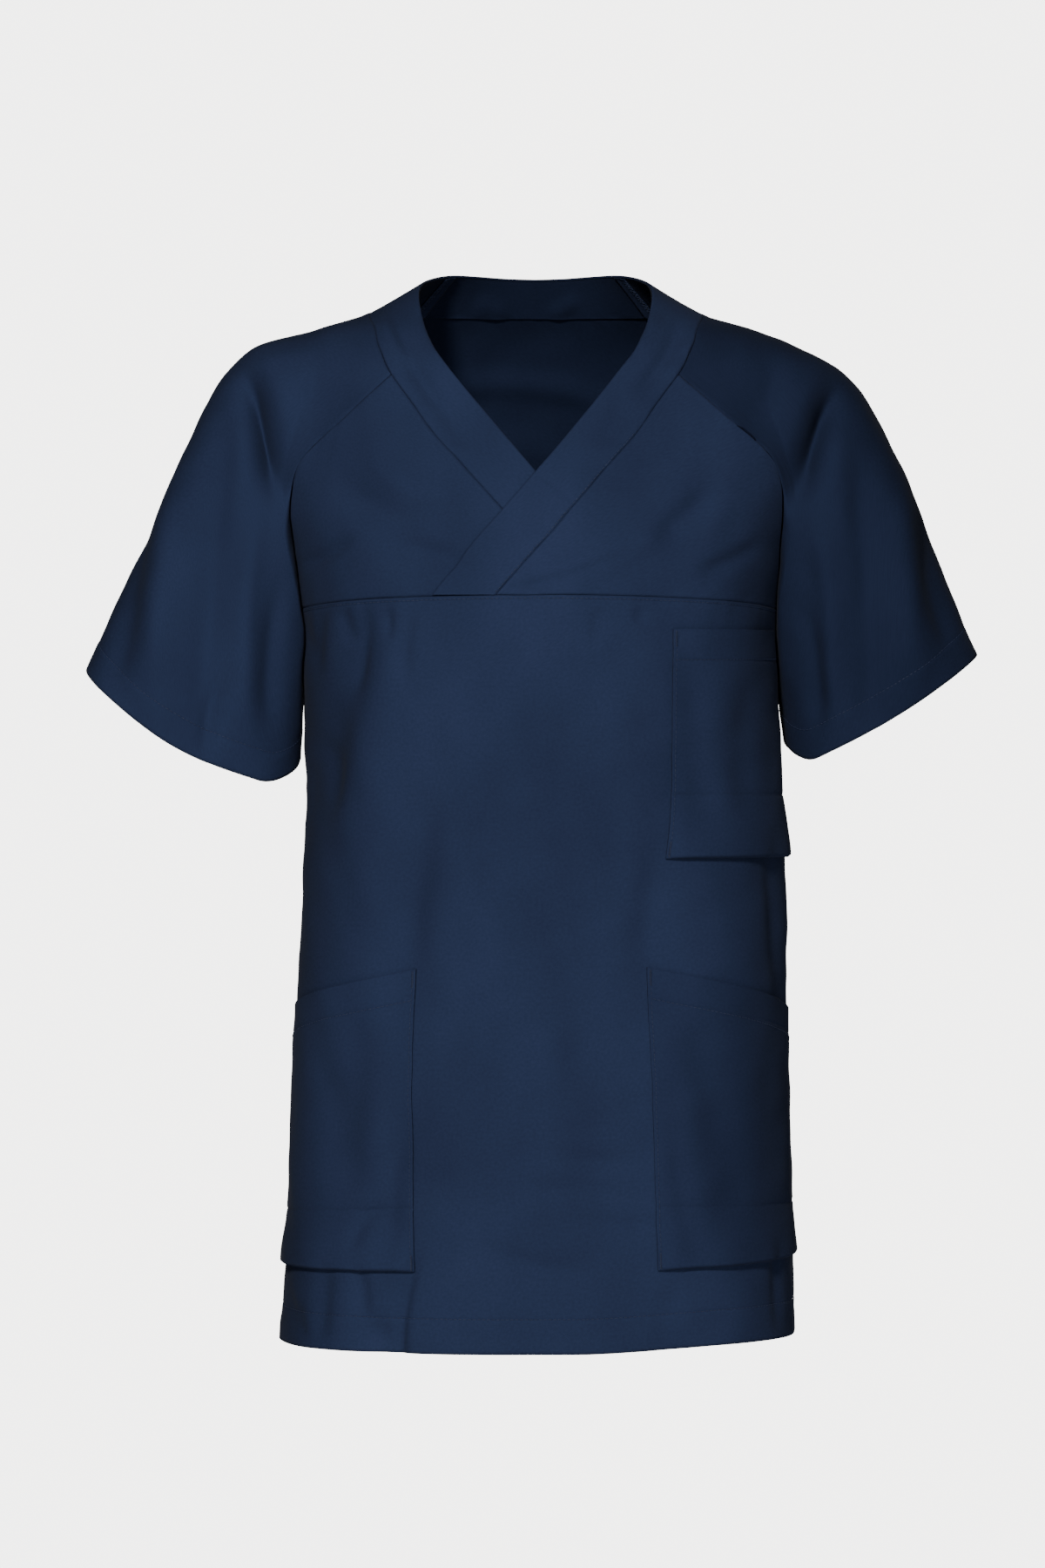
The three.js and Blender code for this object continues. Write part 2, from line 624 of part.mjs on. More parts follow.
// A sleeve's own frame at a station: its section's centre and directions.
function sleeveFrame(side, row) {
  const sign = SIDES[side];
  const at = path(SLEEVES[side])(row);
  const lean = degToRad(at.lean);
  const inwards = new THREE.Vector3(-sign * Math.cos(lean), 0, -Math.sin(lean));
  const down = new THREE.Vector3(sign * Math.sin(lean), 0, -Math.cos(lean));
  const outline = new THREE.Vector3(sign * at.out, at.middle, at.z);
  return { at, inwards, down, outline, centre: outline.clone().addScaledVector(inwards, at.half) };
}

// A point of the sleeve's tube. turn is 0 on its upper line, positive over the front.
function onTube(side, row, turn) {
  const { at, inwards, down, centre } = sleeveFrame(side, row);
  const [cosine, sine] = [Math.cos(turn), Math.sin(turn)];
  const reach = superReach(cosine / at.half, sine / at.depth, SLEEVE_SQUARE);
  const outwards = inwards.clone().multiplyScalar(-cosine).add(new THREE.Vector3(0, -sine, 0));
  const point = centre.clone().addScaledVector(outwards, reach).addScaledVector(down, at.fore * sine);
  return point.addScaledVector(outwards, foldHeight(SLEEVE_FOLDS[side], point.x, point.y, point.z));
}

// The larger of two numbers, rounded over where they are nearly the same.
function softMax(a, b, blend) {
  const h = Math.max(blend - Math.abs(a - b), 0) / blend;
  return Math.max(a, b) + (h * h * blend) / 4;
}

// The tube where it is clear of the body, and the body's own face where it isn't.
function onSleeve(side, row, turn, clearance) {
  const point = onTube(side, row, turn);
  const centre = bodyAt(point.z).centre;
  const [dx, dy] = [point.x - centre, point.y];
  const own = Math.hypot(dx, dy);
  const body = bodyReach(dx / own, -dy / own, point.z) + clearance;
  const high = smoothstep(point.z, SLEEVE_BLEND.lowZ, SLEEVE_BLEND.highZ);
  const reach = softMax(own, body, lerp(SLEEVE_BLEND.low, SLEEVE_BLEND.high, high));
  return new THREE.Vector3(centre + (dx * reach) / own, (dy * reach) / own, point.z);
}

// Which station and turn of the sleeve a point belongs to.
function sleevePlace(side, point) {
  const fine = 400;
  let best = null;
  for (let k = 0; k <= fine; k += 1) {
    const row = (CUFF_ROW * k) / fine;
    const { at, inwards, down, outline, centre } = sleeveFrame(side, row);
    const off = Math.abs(point.clone().sub(outline).dot(down));
    const from = point.clone().sub(centre);
    const depth = point.clone().sub(outline).dot(inwards);
    const miss = off + Math.max(0, -depth) + Math.max(0, depth - 2.2 * at.half);
    if (!best || miss < best.miss) {
      best = { miss, row, turn: Math.atan2(-from.y, -from.dot(inwards)) };
    }
  }
  return best;
}

// The closed edge of a sleeve: up the front raglan seam, over the neck and down the back one.
function sleeveEdge(side) {
  const front = [
    ...lowArmhole(side),
    ...seam(RAGLAN_FRONT, side, RAGLAN_ROW.chestSeam, RAGLAN_ROW.bend, DIVIDE.yokeUp).slice(1),
    ...seam(RAGLAN_FRONT, side, RAGLAN_ROW.bend, 0, DIVIDE.yokeAcross).slice(1),
  ];
  const neck = seam(NECK_SEAM, side, NECK_ROW.raglanFront, NECK_ROW.raglanBack, DIVIDE.neckOnSleeve);
  const back = backRaglan(side).reverse().slice(1, -1);
  return [...front, ...neck.slice(1), ...back];
}

// How far sleeve and body lie face to face at their seam: not at all up by the shoulder, and wholly
// where the sleeve folds over the body beside the armpit.
const facingBody = (z) => 1 - smoothstep(z, FOLDS_OVER_BODY.whollyFrom, FOLDS_OVER_BODY.from);

// The sleeve's first row, drawn away from the panels' edges.
function sleeveSeamRow(side, places) {
  const points = places.map(({ deg, z }) => onBody(deg, z));
  const count = points.length;
  return places.map(({ deg, z }, k) => {
    const normal = bodyNormal(deg, z);
    const along = points[(k + 1) % count].clone().sub(points[(k + count - 1) % count]).normalize();
    const away = new THREE.Vector3(SIDES[side], 0, SEAM_AWAY_UP);
    away.addScaledVector(along, -away.dot(along)).addScaledVector(normal, -away.dot(normal)).normalize();
    const point = points[k].clone().addScaledVector(away, SEAM_GAP / 2);
    return { point: point.addScaledVector(normal, facingBody(z) * SEAM_GAP), normal };
  });
}

// Turns round the cuff for the points of the seam, in step with their distance along it.
function cuffTurns(places) {
  const points = places.map(({ deg, z }) => onBody(deg, z));
  const count = points.length;
  const travelled = [0];
  for (let k = 1; k <= count; k += 1) {
    travelled.push(travelled[k - 1] + points[k % count].distanceTo(points[k - 1]));
  }
  const neckStart = places.findIndex(({ z }) => z > NECK_SEAM[NECK_ROW.raglanFront].z);
  const top = places.findIndex(({ deg }, k) => k > neckStart && Math.abs(deg) >= NECK_SEAM_TOP_DEG);
  const turns = points.map((_, k) => (k <= top
    ? Math.PI * (1 - travelled[k] / travelled[top])
    : (-Math.PI * (travelled[k] - travelled[top])) / (travelled[count] - travelled[top])));
  return { turns, top };
}

function sleeveGrid(side) {
  const places = sleeveEdge(side);
  const seamRow = sleeveSeamRow(side, places);
  const { turns, top } = cuffTurns(places);
  const starts = seamRow.map(({ point }, k) => {
    const found = sleevePlace(side, point);
    if (k === 0) return { row: found.row, turn: Math.PI };
    return { row: found.row, turn: k > top && found.turn > 0 ? found.turn - 2 * Math.PI : found.turn };
  });
  const cuffSpan = sleeveFrame(side, CUFF_ROW).outline.distanceTo(sleeveFrame(side, CUFF_ROW - 1).outline);
  const hemTop = CUFF_ROW - CUFF_HEM_DEPTH / cuffSpan;
  const hemStart = hemTop - HEM_STEP / cuffSpan;
  const grid = [seamRow];
  for (let i = 1; i <= DIVIDE.sleeveDown; i += 1) {
    const share = i / DIVIDE.sleeveDown;
    const leaving = 1 - (1 - share) ** SEAM_LEFT_BY;
    grid.push(places.map(({ z }, k) => {
      const row = lerp(starts[k].row, hemStart, share);
      const turn = lerp(starts[k].turn, turns[k], leaving);
      const clear = Math.max(facingBody(z), smoothstep(share, CLEAR_BY.from, CLEAR_BY.to));
      return { point: onSleeve(side, row, turn, SLEEVE_CLEARANCE * clear) };
    }));
  }
  for (const row of [hemTop, CUFF_ROW]) {
    grid.push(turns.map((turn) => ({ point: onSleeve(side, row, turn, SLEEVE_CLEARANCE) })));
  }
  return grid;
}

function sleeve(side) {
  const grid = sleeveGrid(side);
  const facing = side === "right" ? grid : grid.map((row) => [...row].reverse());
  const normals = gridNormals(facing, true);
  facing.forEach((row, i) => row.forEach((node, j) => {
    const free = i === 0 ? Math.min(1, 2 * facingBody(node.point.z)) : 1;
    node.normal = (node.normal ?? normals[i][j]).clone().lerp(normals[i][j], free).normalize();
  }));
  const hemFrom = facing.length - 2;
  return wall(facing, (i) => (i >= hemFrom ? HEM_WALL : WALL), true);
}

// The angle of the front armhole at a height below the chest seam.
function armholeDeg(z) {
  const rows = RAGLAN_FRONT.slice(RAGLAN_ROW.bend);
  const k = rows.findIndex((row) => row.z <= z);
  const [above, below] = [rows[k - 1], rows[k]];
  return lerp(above.deg, below.deg, (above.z - z) / (above.z - below.z));
}

// Where a pocket's outer edge lies: at the side seam, or beside the armhole above it.
function pocketOuterDeg(z) {
  const near = z + POCKET_FROM_ARMHOLE.z;
  if (near <= UNDERARM_Z) return POCKET_OUTER_DEG;
  const away = POCKET_FROM_ARMHOLE.deg * smoothstep(near - UNDERARM_Z, 0, POCKET_FROM_ARMHOLE.fadeOver);
  return Math.min(POCKET_OUTER_DEG, armholeDeg(near) - away);
}

// How far a pocket stands off the body. u runs from its inner to its outer edge and v up its height.
function pocketLift(u, v) {
  const swell = Math.sin(Math.PI * u) ** 0.7;
  const middle = POCKET_LIFT.middle * swell * Math.sin(Math.PI * Math.min(1, v + 0.1));
  const mouth = POCKET_LIFT.mouth * swell * smoothstep(v, 0.8, 1);
  const bottom = POCKET_LIFT.bottom * Math.min(1, 2.5 * swell) * (1 - smoothstep(v, 0, 0.3));
  return POCKET_LIFT.sewn + middle + mouth + bottom;
}

// A pocket, lying on the body's outer face and standing a little off it at its lower edge.
function pocket({ side, innerTop, innerBottom, topInner, topOuter, bottomInner, bottomOuter, across, down }) {
  const sign = SIDES[side];
  const height = topInner - bottomInner;
  const tuck = POCKET_TUCK / height;
  const steps = [0, tuck, tuck + HEM_STEP / height];
  for (let k = 1; k <= down - 2; k += 1) steps.push(lerp(tuck, 1, k / (down - 2)));
  const grid = steps.map((v) => Array.from({ length: across + 1 }, (_, j) => {
    const u = j / across;
    const z = lerp(lerp(bottomInner, bottomOuter, u), lerp(topInner, topOuter, u), v);
    const deg = lerp(lerp(innerBottom, innerTop, v), pocketOuterDeg(z), u);
    const [normal, lift] = [bodyNormal(sign * deg, z), pocketLift(u, v)];
    return { point: onBody(sign * deg, z).addScaledVector(normal, lift), normal, lift };
  }));
  const facing = side === "right" ? grid.map((row) => row.reverse()) : grid;
  const walls = [POCKET_WALL.bottom, POCKET_WALL.tuck];
  return wall(facing, (i, j) => Math.min(walls[i] ?? WALL, facing[i][j].lift - POCKET_GAP));
}

function cloth(name, colour, geometry) {
  const material = new THREE.MeshStandardMaterial({ color: colour, roughness: 0.82, metalness: 0 });
  const mesh = new THREE.Mesh(geometry, material);
  mesh.name = name;
  return mesh;
}

const top = new THREE.Group();
top.name = "scrub_top";
top.add(cloth("front", NAVY.cloth, frontPanel()));
top.add(cloth("back", NAVY.cloth, backPanel()));
for (const side of ["right", "left"]) {
  top.add(cloth(`yoke_${side}`, NAVY.cloth, yoke(side)));
  top.add(cloth(`sleeve_${side}`, NAVY.cloth, sleeve(side)));
  top.add(cloth(`band_${side}`, NAVY.band, frontBand(side)));
}
top.add(cloth("band_back", NAVY.band, backBand()));
for (const row of POCKETS) top.add(cloth(row.name, NAVY.pocket, pocket(row)));

export default top;
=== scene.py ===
"""A short-sleeved medical scrub top in worn form, dressed for rendering.

Sizes are in millimetres in the part's frame: +X is the wearer's left, the front faces -Y and +Z is up.
Meshes are made in metres. deg is an angle round the body, 0 at the middle of the front.
"""
import math

import bpy
import numpy as np
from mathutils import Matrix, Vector


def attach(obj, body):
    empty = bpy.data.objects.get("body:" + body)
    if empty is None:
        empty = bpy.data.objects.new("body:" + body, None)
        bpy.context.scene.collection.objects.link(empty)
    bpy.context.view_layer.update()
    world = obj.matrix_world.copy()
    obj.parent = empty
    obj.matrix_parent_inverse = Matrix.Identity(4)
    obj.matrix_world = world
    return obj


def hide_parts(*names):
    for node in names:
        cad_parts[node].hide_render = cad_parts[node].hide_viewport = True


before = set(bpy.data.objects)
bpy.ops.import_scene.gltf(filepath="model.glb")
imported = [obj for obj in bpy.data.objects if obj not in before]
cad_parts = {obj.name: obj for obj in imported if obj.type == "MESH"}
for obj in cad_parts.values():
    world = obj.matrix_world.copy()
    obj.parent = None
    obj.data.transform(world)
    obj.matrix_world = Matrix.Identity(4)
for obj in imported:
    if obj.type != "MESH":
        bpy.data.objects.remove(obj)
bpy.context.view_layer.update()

MM = 0.001


def table(columns, *rows):
    """A table as one array for each named column."""
    return {name: np.array(column, float) for name, column in zip(columns.split(), zip(*rows))}


# Cloth
CLOTH_WALL = 0.9
HEM_WALL = 1.7
BAND_WALL = 1.9
POCKET_WALL_MOST = 1.1
SEAM_CLEARANCE = 0.12

# Height and size of the cloth's broad and fine unevenness
BODY_BROAD, BODY_FINE = (1.3, 55), (0.35, 20)
SLEEVE_BROAD, SLEEVE_FINE = (1.2, 42), (0.3, 17)
POCKET_UNEVEN = (0.4, 22)
SEAM_PUCKERS = (0.28, 9)
HEM_PUCKERS = (0.25, 14)

# How far seams dip, and how far stitches sink, with their widths across
SEAM_DIP, SEAM_DIP_WIDTH = 0.7, 0.8
SEAM_FILLED = 0.6
SEAM_FILLED_Z = (0, 7)
STITCH_RIDGE = 0.22
STITCH_GROOVE, SEAM_GROOVE_WIDTH, HEM_GROOVE_WIDTH = 0.45, 0.7, 0.9
HEM_STEP = 0.35

# Grids of the pieces: the size of a cell, and rough lengths of the edges that are divided
CELL = 2.8
SEAM_ROWS = np.array([0, 0.4, 0.9, 1.6, 2.5, 3.8])
LINE_ROWS = np.array([-2.6, -1.5, -0.7, 0, 0.7, 1.5, 2.6])
BODY_ACROSS = 505
FRONT_ARMHOLE, BACK_ARMHOLE = 60, 285
YOKE_ACROSS, YOKE_UP = 170, 135
BAND_FRONT, BAND_BACK, BAND_ACROSS = 345, 75, 36
POCKET_ACROSS = 115

# Heights and hems
HEM_Z = -710
HEM_RISE_LEFT = 5
HEM_DEPTH = 24
CUFF_HEM_DEPTH = 21
UNDERARM_Z = -250
CHEST_SEAM_Z = -195
CHEST_SEAM_DROP = 7

# The band and the layers where it crosses over
UNDER_LAYER = 2.6
UNDER_LAYER_FAR = 50
UNDER_LAYER_NEAR = 4
BAND_LEAVES_CHEST = (28, 48)
V_POINT = (0, -110)
OVERLAP_END = (-75, -195)

# Sections
BODY_SQUARE = 2.5
SLEEVE_SQUARE = 2.2
BODY = table(
    "z centre half front back",
    (-711, 2, 180, 132, 127),
    (-640, 3.5, 176.5, 132, 124),
    (-500, 4.5, 172, 132, 119),
    (-400, 6.5, 168.5, 132, 116),
    (-323, 5.5, 164.5, 132, 117),
    (-250, 3.5, 164, 132, 120),
    (-200, 2, 167, 131, 122),
    (-165, 1, 174, 128, 123),
    (-128, 0.5, 185, 121, 122),
    (-90, 0.5, 192, 110, 119),
    (-60, 0.5, 190, 99, 115),
    (-40, 0.5, 178, 91, 111),
    (-20, 0.5, 152, 82, 105),
    (0, 0.5, 123, 73, 94),
    (10, 0.5, 111, 68, 86),
    (40, 0.5, 78, 50, 62),
)

# Folds of the body in the front view (facing 1) and the back view (facing -1)
FOLDS = "facing x1 z1 x2 z2 bow width depth"
BODY_FOLDS = table(
    FOLDS,
    # the shadows down both sides of the front, and the broad middle between them
    (1, -84, -280, -90, -490, 4, 23, -5.6),
    (1, 82, -360, 76, -490, -3, 22, -5.6),
    (1, -112, -215, -152, -350, 5, 15, -6.8),
    (1, -40, -260, -20, -560, 6, 38, 4),
    (1, 40, -330, 55, -640, 0, 24, -3),
    (1, -66, -326, -86, -446, 3, 12, -2),
    (1, 84, -366, 83, -446, 2, 12, -1.8),
    (1, -92, -560, -98, -640, 4, 12, -4.5),
    (1, 12, -420, 30, -520, -6, 18, -3.6),
    # below the armpits
    (1, -148, -296, -143, -338, -3, 8, -3),
    (1, -158, -310, -154, -345, 2, 6, -2),
    (1, 150, -258, 142, -332, 3, 11, -3),
    # the yokes, dragged from the armholes and from the neck
    (1, -159, -172, -128, -157, 1, 5, -2.6),
    (1, -132, -120, -82, -146, 5, 12, -4.6),
    (1, -112, -100, -62, -128, 4, 10, 2.4),
    (1, -112, -158, -50, -176, -3, 9, -4),
    (1, -18, -193, 61, -165, 3, 5.5, -2.5),
    (1, 8, -182, 84, -150, 4, 9, 3.2),
    (1, 84, -152, 122, -126, 3, 10, -4),
    (1, 48, -116, 100, -100, 3, 11, -3),
    (1, 118, -178, 152, -160, 1, 6, -2.7),
    # puckers below the chest seam
    (1, -161, -208, -156, -232, 0, 4, -1.8),
    (1, -147, -206, -151, -244, 1, 4.5, -2),
    (1, -131, -205, -127, -226, 0, 5, -2.2),
    (1, -117, -206, -124, -254, -1, 5, -2.2),
    (1, -101, -204, -99, -224, 0, 4, -1.8),
    (1, -84, -204, -90, -248, 1, 6, -2.2),
    (1, 44, -206, 40, -228, 0, 5, -1.4),
    (1, 72, -204, 70, -214, 0, 4, -1.4),
    # round the pockets and down to the hem
    (1, -82, -648, -94, -712, 2, 4.5, -3.4),
    (1, -121, -652, -118, -684, 0, 6, -2.7),
    (1, -142, -655, -146, -700, 1, 6, -2.7),
    (1, -110, -690, -95, -730, 0, 14, -6.3),
    (1, 14, -574, 72, -580, 2, 7, -1.8),
    (1, 0, -597, 66, -604, -2, 8, -2),
    (1, 28, -619, 80, -622, 1, 6, -1.4),
    (1, -30, -640, 34, -655, 3, 9, -2.5),
    (1, 96, -662, 87, -706, 2, 9, -1.3),
    (1, 163, -370, 172, -474, 2, 5, -2.6),
    (1, 166, -644, 167, -694, 0, 3.8, -2.2),
    (1, -168, -676, -166, -698, 0, 4, -1.8),
    (1, -161, -683, -158, -702, 1, 4, -1.8),
    # the pockets' own slack
    (1, -118, -500, -128, -604, 3, 13, -3.3),
    (1, -144, -516, -139, -584, -2, 10, -2.3),
    (1, -110, -612, -124, -640, 2, 6, -2.7),
    (1, 110, -500, 130, -596, -3, 14, -3.2),
    (1, 96, -560, 108, -640, 2, 8, -2.2),
    (1, 104, -246, 116, -340, 3, 12, -2.2),
    # the back
    (-1, -60, -150, -75, -640, 6, 28, -8),
    (-1, 64, -170, 82, -660, -6, 26, -8),
    (-1, 4, -260, -6, -700, 0, 34, 6),
    (-1, -142, -196, -92, -320, -5, 9, -4.2),
    (-1, 144, -190, 100, -290, 5, 8, -3.6),
    (-1, -130, -280, -104, -420, 4, 12, -5.4),
    (-1, 128, -300, 116, -440, -3, 11, -4.7),
    (-1, -60, -40, 58, -52, -8, 9, -4),
    (-1, -84, -84, 30, -92, -7, 12, -4),
    (-1, -110, -120, -60, -180, 3, 12, -4.7),
    (-1, 96, -104, 56, -190, -4, 11, -4.3),
    (-1, -10, -400, 92, -380, 6, 10, -4),
    (-1, -100, -505, -20, -528, -5, 11, -4),
    (-1, 112, -540, 126, -704, 3, 8, -3.6),
    (-1, -122, -590, -132, -706, -2, 7, -3.1),
    (-1, 30, -600, 22, -710, 2, 12, -3.6),
    (-1, -36, -560, -48, -708, 2, 10, -3.6),
)

# Seams
NECK_SEAM = table(
    "deg z",
    (-12.5, -195),
    (-3.7, -172.5),
    (4, -154),
    (11, -136),
    (18.6, -118),
    (26, -100.5),
    (33, -85),
    (41, -64),
    (50, -42),
    (58, -22),
    (69, -4),
    (90, 7),
    (110, 9),
    (131, 9.5),
    (155, 10),
    (180, 10),
)
NECK_CHEST_SEAM, NECK_RAGLAN_FRONT, NECK_RAGLAN_BACK, NECK_MIDDLE_BACK = 0, 8, 13, 15
FREE_EDGE = table(
    "deg z reach",
    (-30, -195, 150),
    (-23.5, -173, 140),
    (-16.7, -152.5, 131),
    (-8.5, -131, 124),
    (0, -110, 119),
    (13, -81, 109),
    (26, -54, 107),
    (37, -32, 105),
    (48, -14, 99),
    (59, 2, 92),
    (71, 15, 86),
    (86, 25, 81),
    (102, 31, 78),
    (118, 35.5, 76),
    (131, 37.5, 74.5),
    (146, 37.5, 72),
    (163, 36.5, 69),
    (180, 36, 67),
)
EDGE_CHEST_SEAM, EDGE_JOINT, EDGE_MIDDLE_BACK = 0, 14, 17
RAGLAN_FRONT = table(
    "deg z",
    (50, -42),
    (52, -50),
    (55.3, -64),
    (58.5, -76),
    (62.5, -89),
    (66.5, -103),
    (69, -119),
    (71, -137),
    (73.5, -160),
    (76, -182),
    (78.7, -202),
    (82, -225),
    (86, -243),
    (90, -250),
)
RAGLAN_BEND, RAGLAN_CHEST_SEAM, RAGLAN_UNDERARM = 5, 10, 13
RAGLAN_BACK = table(
    "deg z",
    (131, 9.5),
    (128.5, -12),
    (126, -36),
    (122.5, -62),
    (118.5, -88),
    (114.5, -112),
    (111, -136),
    (108, -160),
    (105, -184),
    (101.5, -208),
    (97, -232),
    (93, -246),
    (90, -250),
)
RAGLAN_BACK_UNDERARM = 12

# Sleeves from the neck to the cuff
SLEEVE_COLUMNS = "out z lean half depth middle fore"
SLEEVES = {
    "right": table(
        SLEEVE_COLUMNS,
        (114, 6, 84, 40, 62, -4, 0),
        (150, -5, 75, 46, 64, -3, 0),
        (191, -17, 60, 54, 66, -2, 0),
        (216, -36, 46, 58, 66, -2, 0),
        (232, -61, 36, 61, 66, -2, 0),
        (252, -104, 28, 65, 65, -3, 1),
        (277, -163, 25, 71, 62, -4, 6),
        (301, -215, 27, 79, 58, -5, 13),
        (313.5, -241, 29.3, 85, 55, -5, 18),
    ),
    "left": table(
        SLEEVE_COLUMNS,
        (115, 6, 84, 40, 62, -4, 0),
        (150, -5, 75, 46, 64, -3, 0),
        (190, -20.5, 60, 54, 66, -2, 0),
        (217, -37, 46, 58, 66, -2, 0),
        (235.5, -60, 36, 60, 66, -2, 0),
        (258, -103, 28, 63, 65, -3, 1),
        (279, -156, 26, 67, 62, -4, 3),
        (299, -207, 28, 72, 58, -5, 6),
        (308.7, -232, 31, 77.5, 55, -5, 8),
    ),
}
CUFF_ROW = 8
CUFF_CORNER = 15
CUFF_CORNER_TURN = 0.6
SLEEVE_CLEARANCE = 1.6
SLEEVE_BLEND_HIGH, SLEEVE_BLEND_LOW = 26, 5
SLEEVE_BLEND_Z = (-110, -30)
FOLDS_OVER_BODY = (-165, -102)
SEAM_LEFT_BY = 3
SEAM_EASE = 0.14
SEAM_AWAY_UP = 0.6
SLEEVE_FIRST_SHARES = (0.002, 0.005, 0.01, 0.017, 0.026)
SLEEVE_SHARES = np.concatenate([SLEEVE_FIRST_SHARES, np.linspace(0.036, 1, 120)])[:, None]
SLEEVE_FOLDS = {
    "right": table(
        FOLDS,
        (1, -198, -44, -176, -124, 0, 13, -13),
        (1, -199, -48, -180, -112, 0, 5.5, -6),
        (1, -250, -120, -262, -250, 0, 12, 5.4),
        (1, -214, -66, -228, -290, 3, 13, -5.9),
        (1, -193, -150, -200, -270, 3, 9, 4),
        (1, -176, -190, -182, -280, 2, 8, -3.6),
        (1, -276, -150, -290, -246, -2, 10, -4.5),
        (1, -214, -250, -226, -300, 2, 7, -3.1),
        (1, -150, -44, -118, -66, 2, 9, -3.2),
        (-1, -196, -60, -178, -150, 0, 16, -9),
        (-1, -228, -110, -240, -270, 2, 12, -5.4),
        (-1, -206, -160, -210, -280, -2, 9, 4),
        (-1, -262, -140, -276, -250, 2, 10, -4.5),
    ),
    "left": table(
        FOLDS,
        (1, 208, -52, 178, -124, 0, 13, -13),
        (1, 208, -56, 184, -112, 0, 5.5, -6),
        (1, 252, -120, 262, -240, 0, 12, 5.4),
        (1, 222, -90, 232, -280, -2, 12, -5.4),
        (1, 196, -150, 206, -270, -3, 9, 4),
        (1, 188, -210, 196, -280, -2, 7, -3.1),
        (1, 274, -150, 290, -230, 2, 10, -4.3),
        (1, 166, -38, 138, -74, 0, 11, -5),
        (1, 150, -22, 122, -44, 0, 9, 2.5),
        (-1, 196, -60, 178, -150, 0, 16, -9),
        (-1, 230, -110, 240, -260, -2, 12, -5.4),
        (-1, 206, -160, 212, -270, 2, 9, 4),
        (-1, 264, -140, 278, -240, -2, 10, -4.5),
    ),
}
SIDES = {"right": -1, "left": 1}

# Soft folds across the neck band, and the edge of the under layer showing through it
BAND_FOLDS = table(
    FOLDS,
    (1, -94, -10, -64, -66, 3, 6.5, -4),
    (1, -106, 0, -84, -34, 2, 5, 2),
    (1, -76, 2, -66, -20, -1, 5, -2),
    (1, -60, -66, -44, -92, 2, 8, -2.4),
    (1, 100, -8, 74, -52, -2, 6.5, -4),
    (1, 84, -2, 70, -24, -1, 5, 1.8),
    (1, 62, -64, 44, -90, -2, 8, -2.2),
    (1, 2, -111, 29, -133, 0, 1.8, -1),
    (-1, -40, 20, -22, 12, 0, 7, -2),
    (-1, 30, 22, 12, 12, 0, 6, -1.8),
)

# Pockets
POCKETS = {
    "pocket_chest": dict(side="left", inner_top=37.2, inner_bottom=34.7, top_inner=-218, top_outer=-217,
                         bottom_inner=-374, bottom_outer=-374),
    "pocket_right": dict(side="right", inner_top=35.8, inner_bottom=34.9, top_inner=-449, top_outer=-480,
                         bottom_inner=-654.5, bottom_outer=-657),
    "pocket_left": dict(side="left", inner_top=30.5, inner_bottom=32.8, top_inner=-447.5, top_outer=-482,
                        bottom_inner=-653.5, bottom_outer=-649),
}
POCKET_OUTER_DEG = 88.6
POCKET_FROM_ARMHOLE_DEG = 4
POCKET_FROM_ARMHOLE_Z = 12
POCKET_TUCK = 43
POCKET_TURN = 21
POCKET_LIFT = {"sewn": 1.3, "middle": 0.9, "mouth": 0.9, "bottom": 3.1}
POCKET_TUCK_LINE, POCKET_TURN_LINE = 0.5, 0.35

# How folds fade out past their ends, as shares of their length, and towards the body's sides
FOLD_FADE = 0.3
FOLD_SIDE_FADE = 35


def smoothstep(x, low, high):
    t = np.clip((x - low) / (high - low), 0, 1)
    return t * t * (3 - 2 * t)


def lerp(a, b, t):
    return a + (b - a) * t


def hill(distance, width):
    """1 at no distance, falling softly to 0 beyond the width."""
    return np.exp(-((distance / width) ** 2))


def unit(vectors):
    return vectors / np.maximum(np.linalg.norm(vectors, axis=-1, keepdims=True), 1e-12)


def along(rows, at):
    """A smooth path through a table's rows, asked for by row number."""
    at = np.asarray(at, float)
    last = len(next(iter(rows.values()))) - 1
    i = np.clip(np.floor(at).astype(int), 0, last - 1)
    t = at - i
    made = {}
    for name, values in rows.items():
        longer = np.concatenate([[2 * values[0] - values[1]], values, [2 * values[-1] - values[-2]]])
        a, b, c, d = (longer[i + k] for k in range(4))
        made[name] = b + 0.5 * t * (c - a + t * (2 * a - 5 * b + 4 * c - d + t * (3 * (b - c) + d - a)))
    return made


def at_height(rows, z):
    """A table's columns at any height, smoothly."""
    heights = rows["z"]
    gaps = np.diff(heights)
    i = np.clip(np.searchsorted(heights, z, side="right") - 1, 0, len(gaps) - 1)
    t = np.clip((z - heights[i]) / gaps[i], 0, 1)
    made = {}
    for name in rows.keys() - {"z"}:
        values = rows[name]
        steps = np.diff(values) / gaps
        inner = (steps[:-1] * gaps[1:] + steps[1:] * gaps[:-1]) / (gaps[1:] + gaps[:-1])
        slopes = np.concatenate([steps[:1], inner, steps[-1:]])
        ends = (2 * t**3 - 3 * t**2 + 1) * values[i] + (3 * t**2 - 2 * t**3) * values[i + 1]
        bends = (t**3 - 2 * t**2 + t) * slopes[i] + (t**3 - t**2) * slopes[i + 1]
        made[name] = ends + bends * gaps[i]
    return made


def unevenness(x, y, z, waves, seed):
    """Soft irregular waves of a height and size."""
    height, size = waves
    rng = np.random.default_rng(seed)
    total = 0
    for _ in range(8):
        way = unit(rng.normal(size=3))
        pitch = size * rng.uniform(1.2, 2.6)
        phase = rng.uniform(0, math.tau)
        total = total + np.sin((x * way[0] + y * way[1] + z * way[2]) * math.tau / pitch + phase)
    return height * total / 3


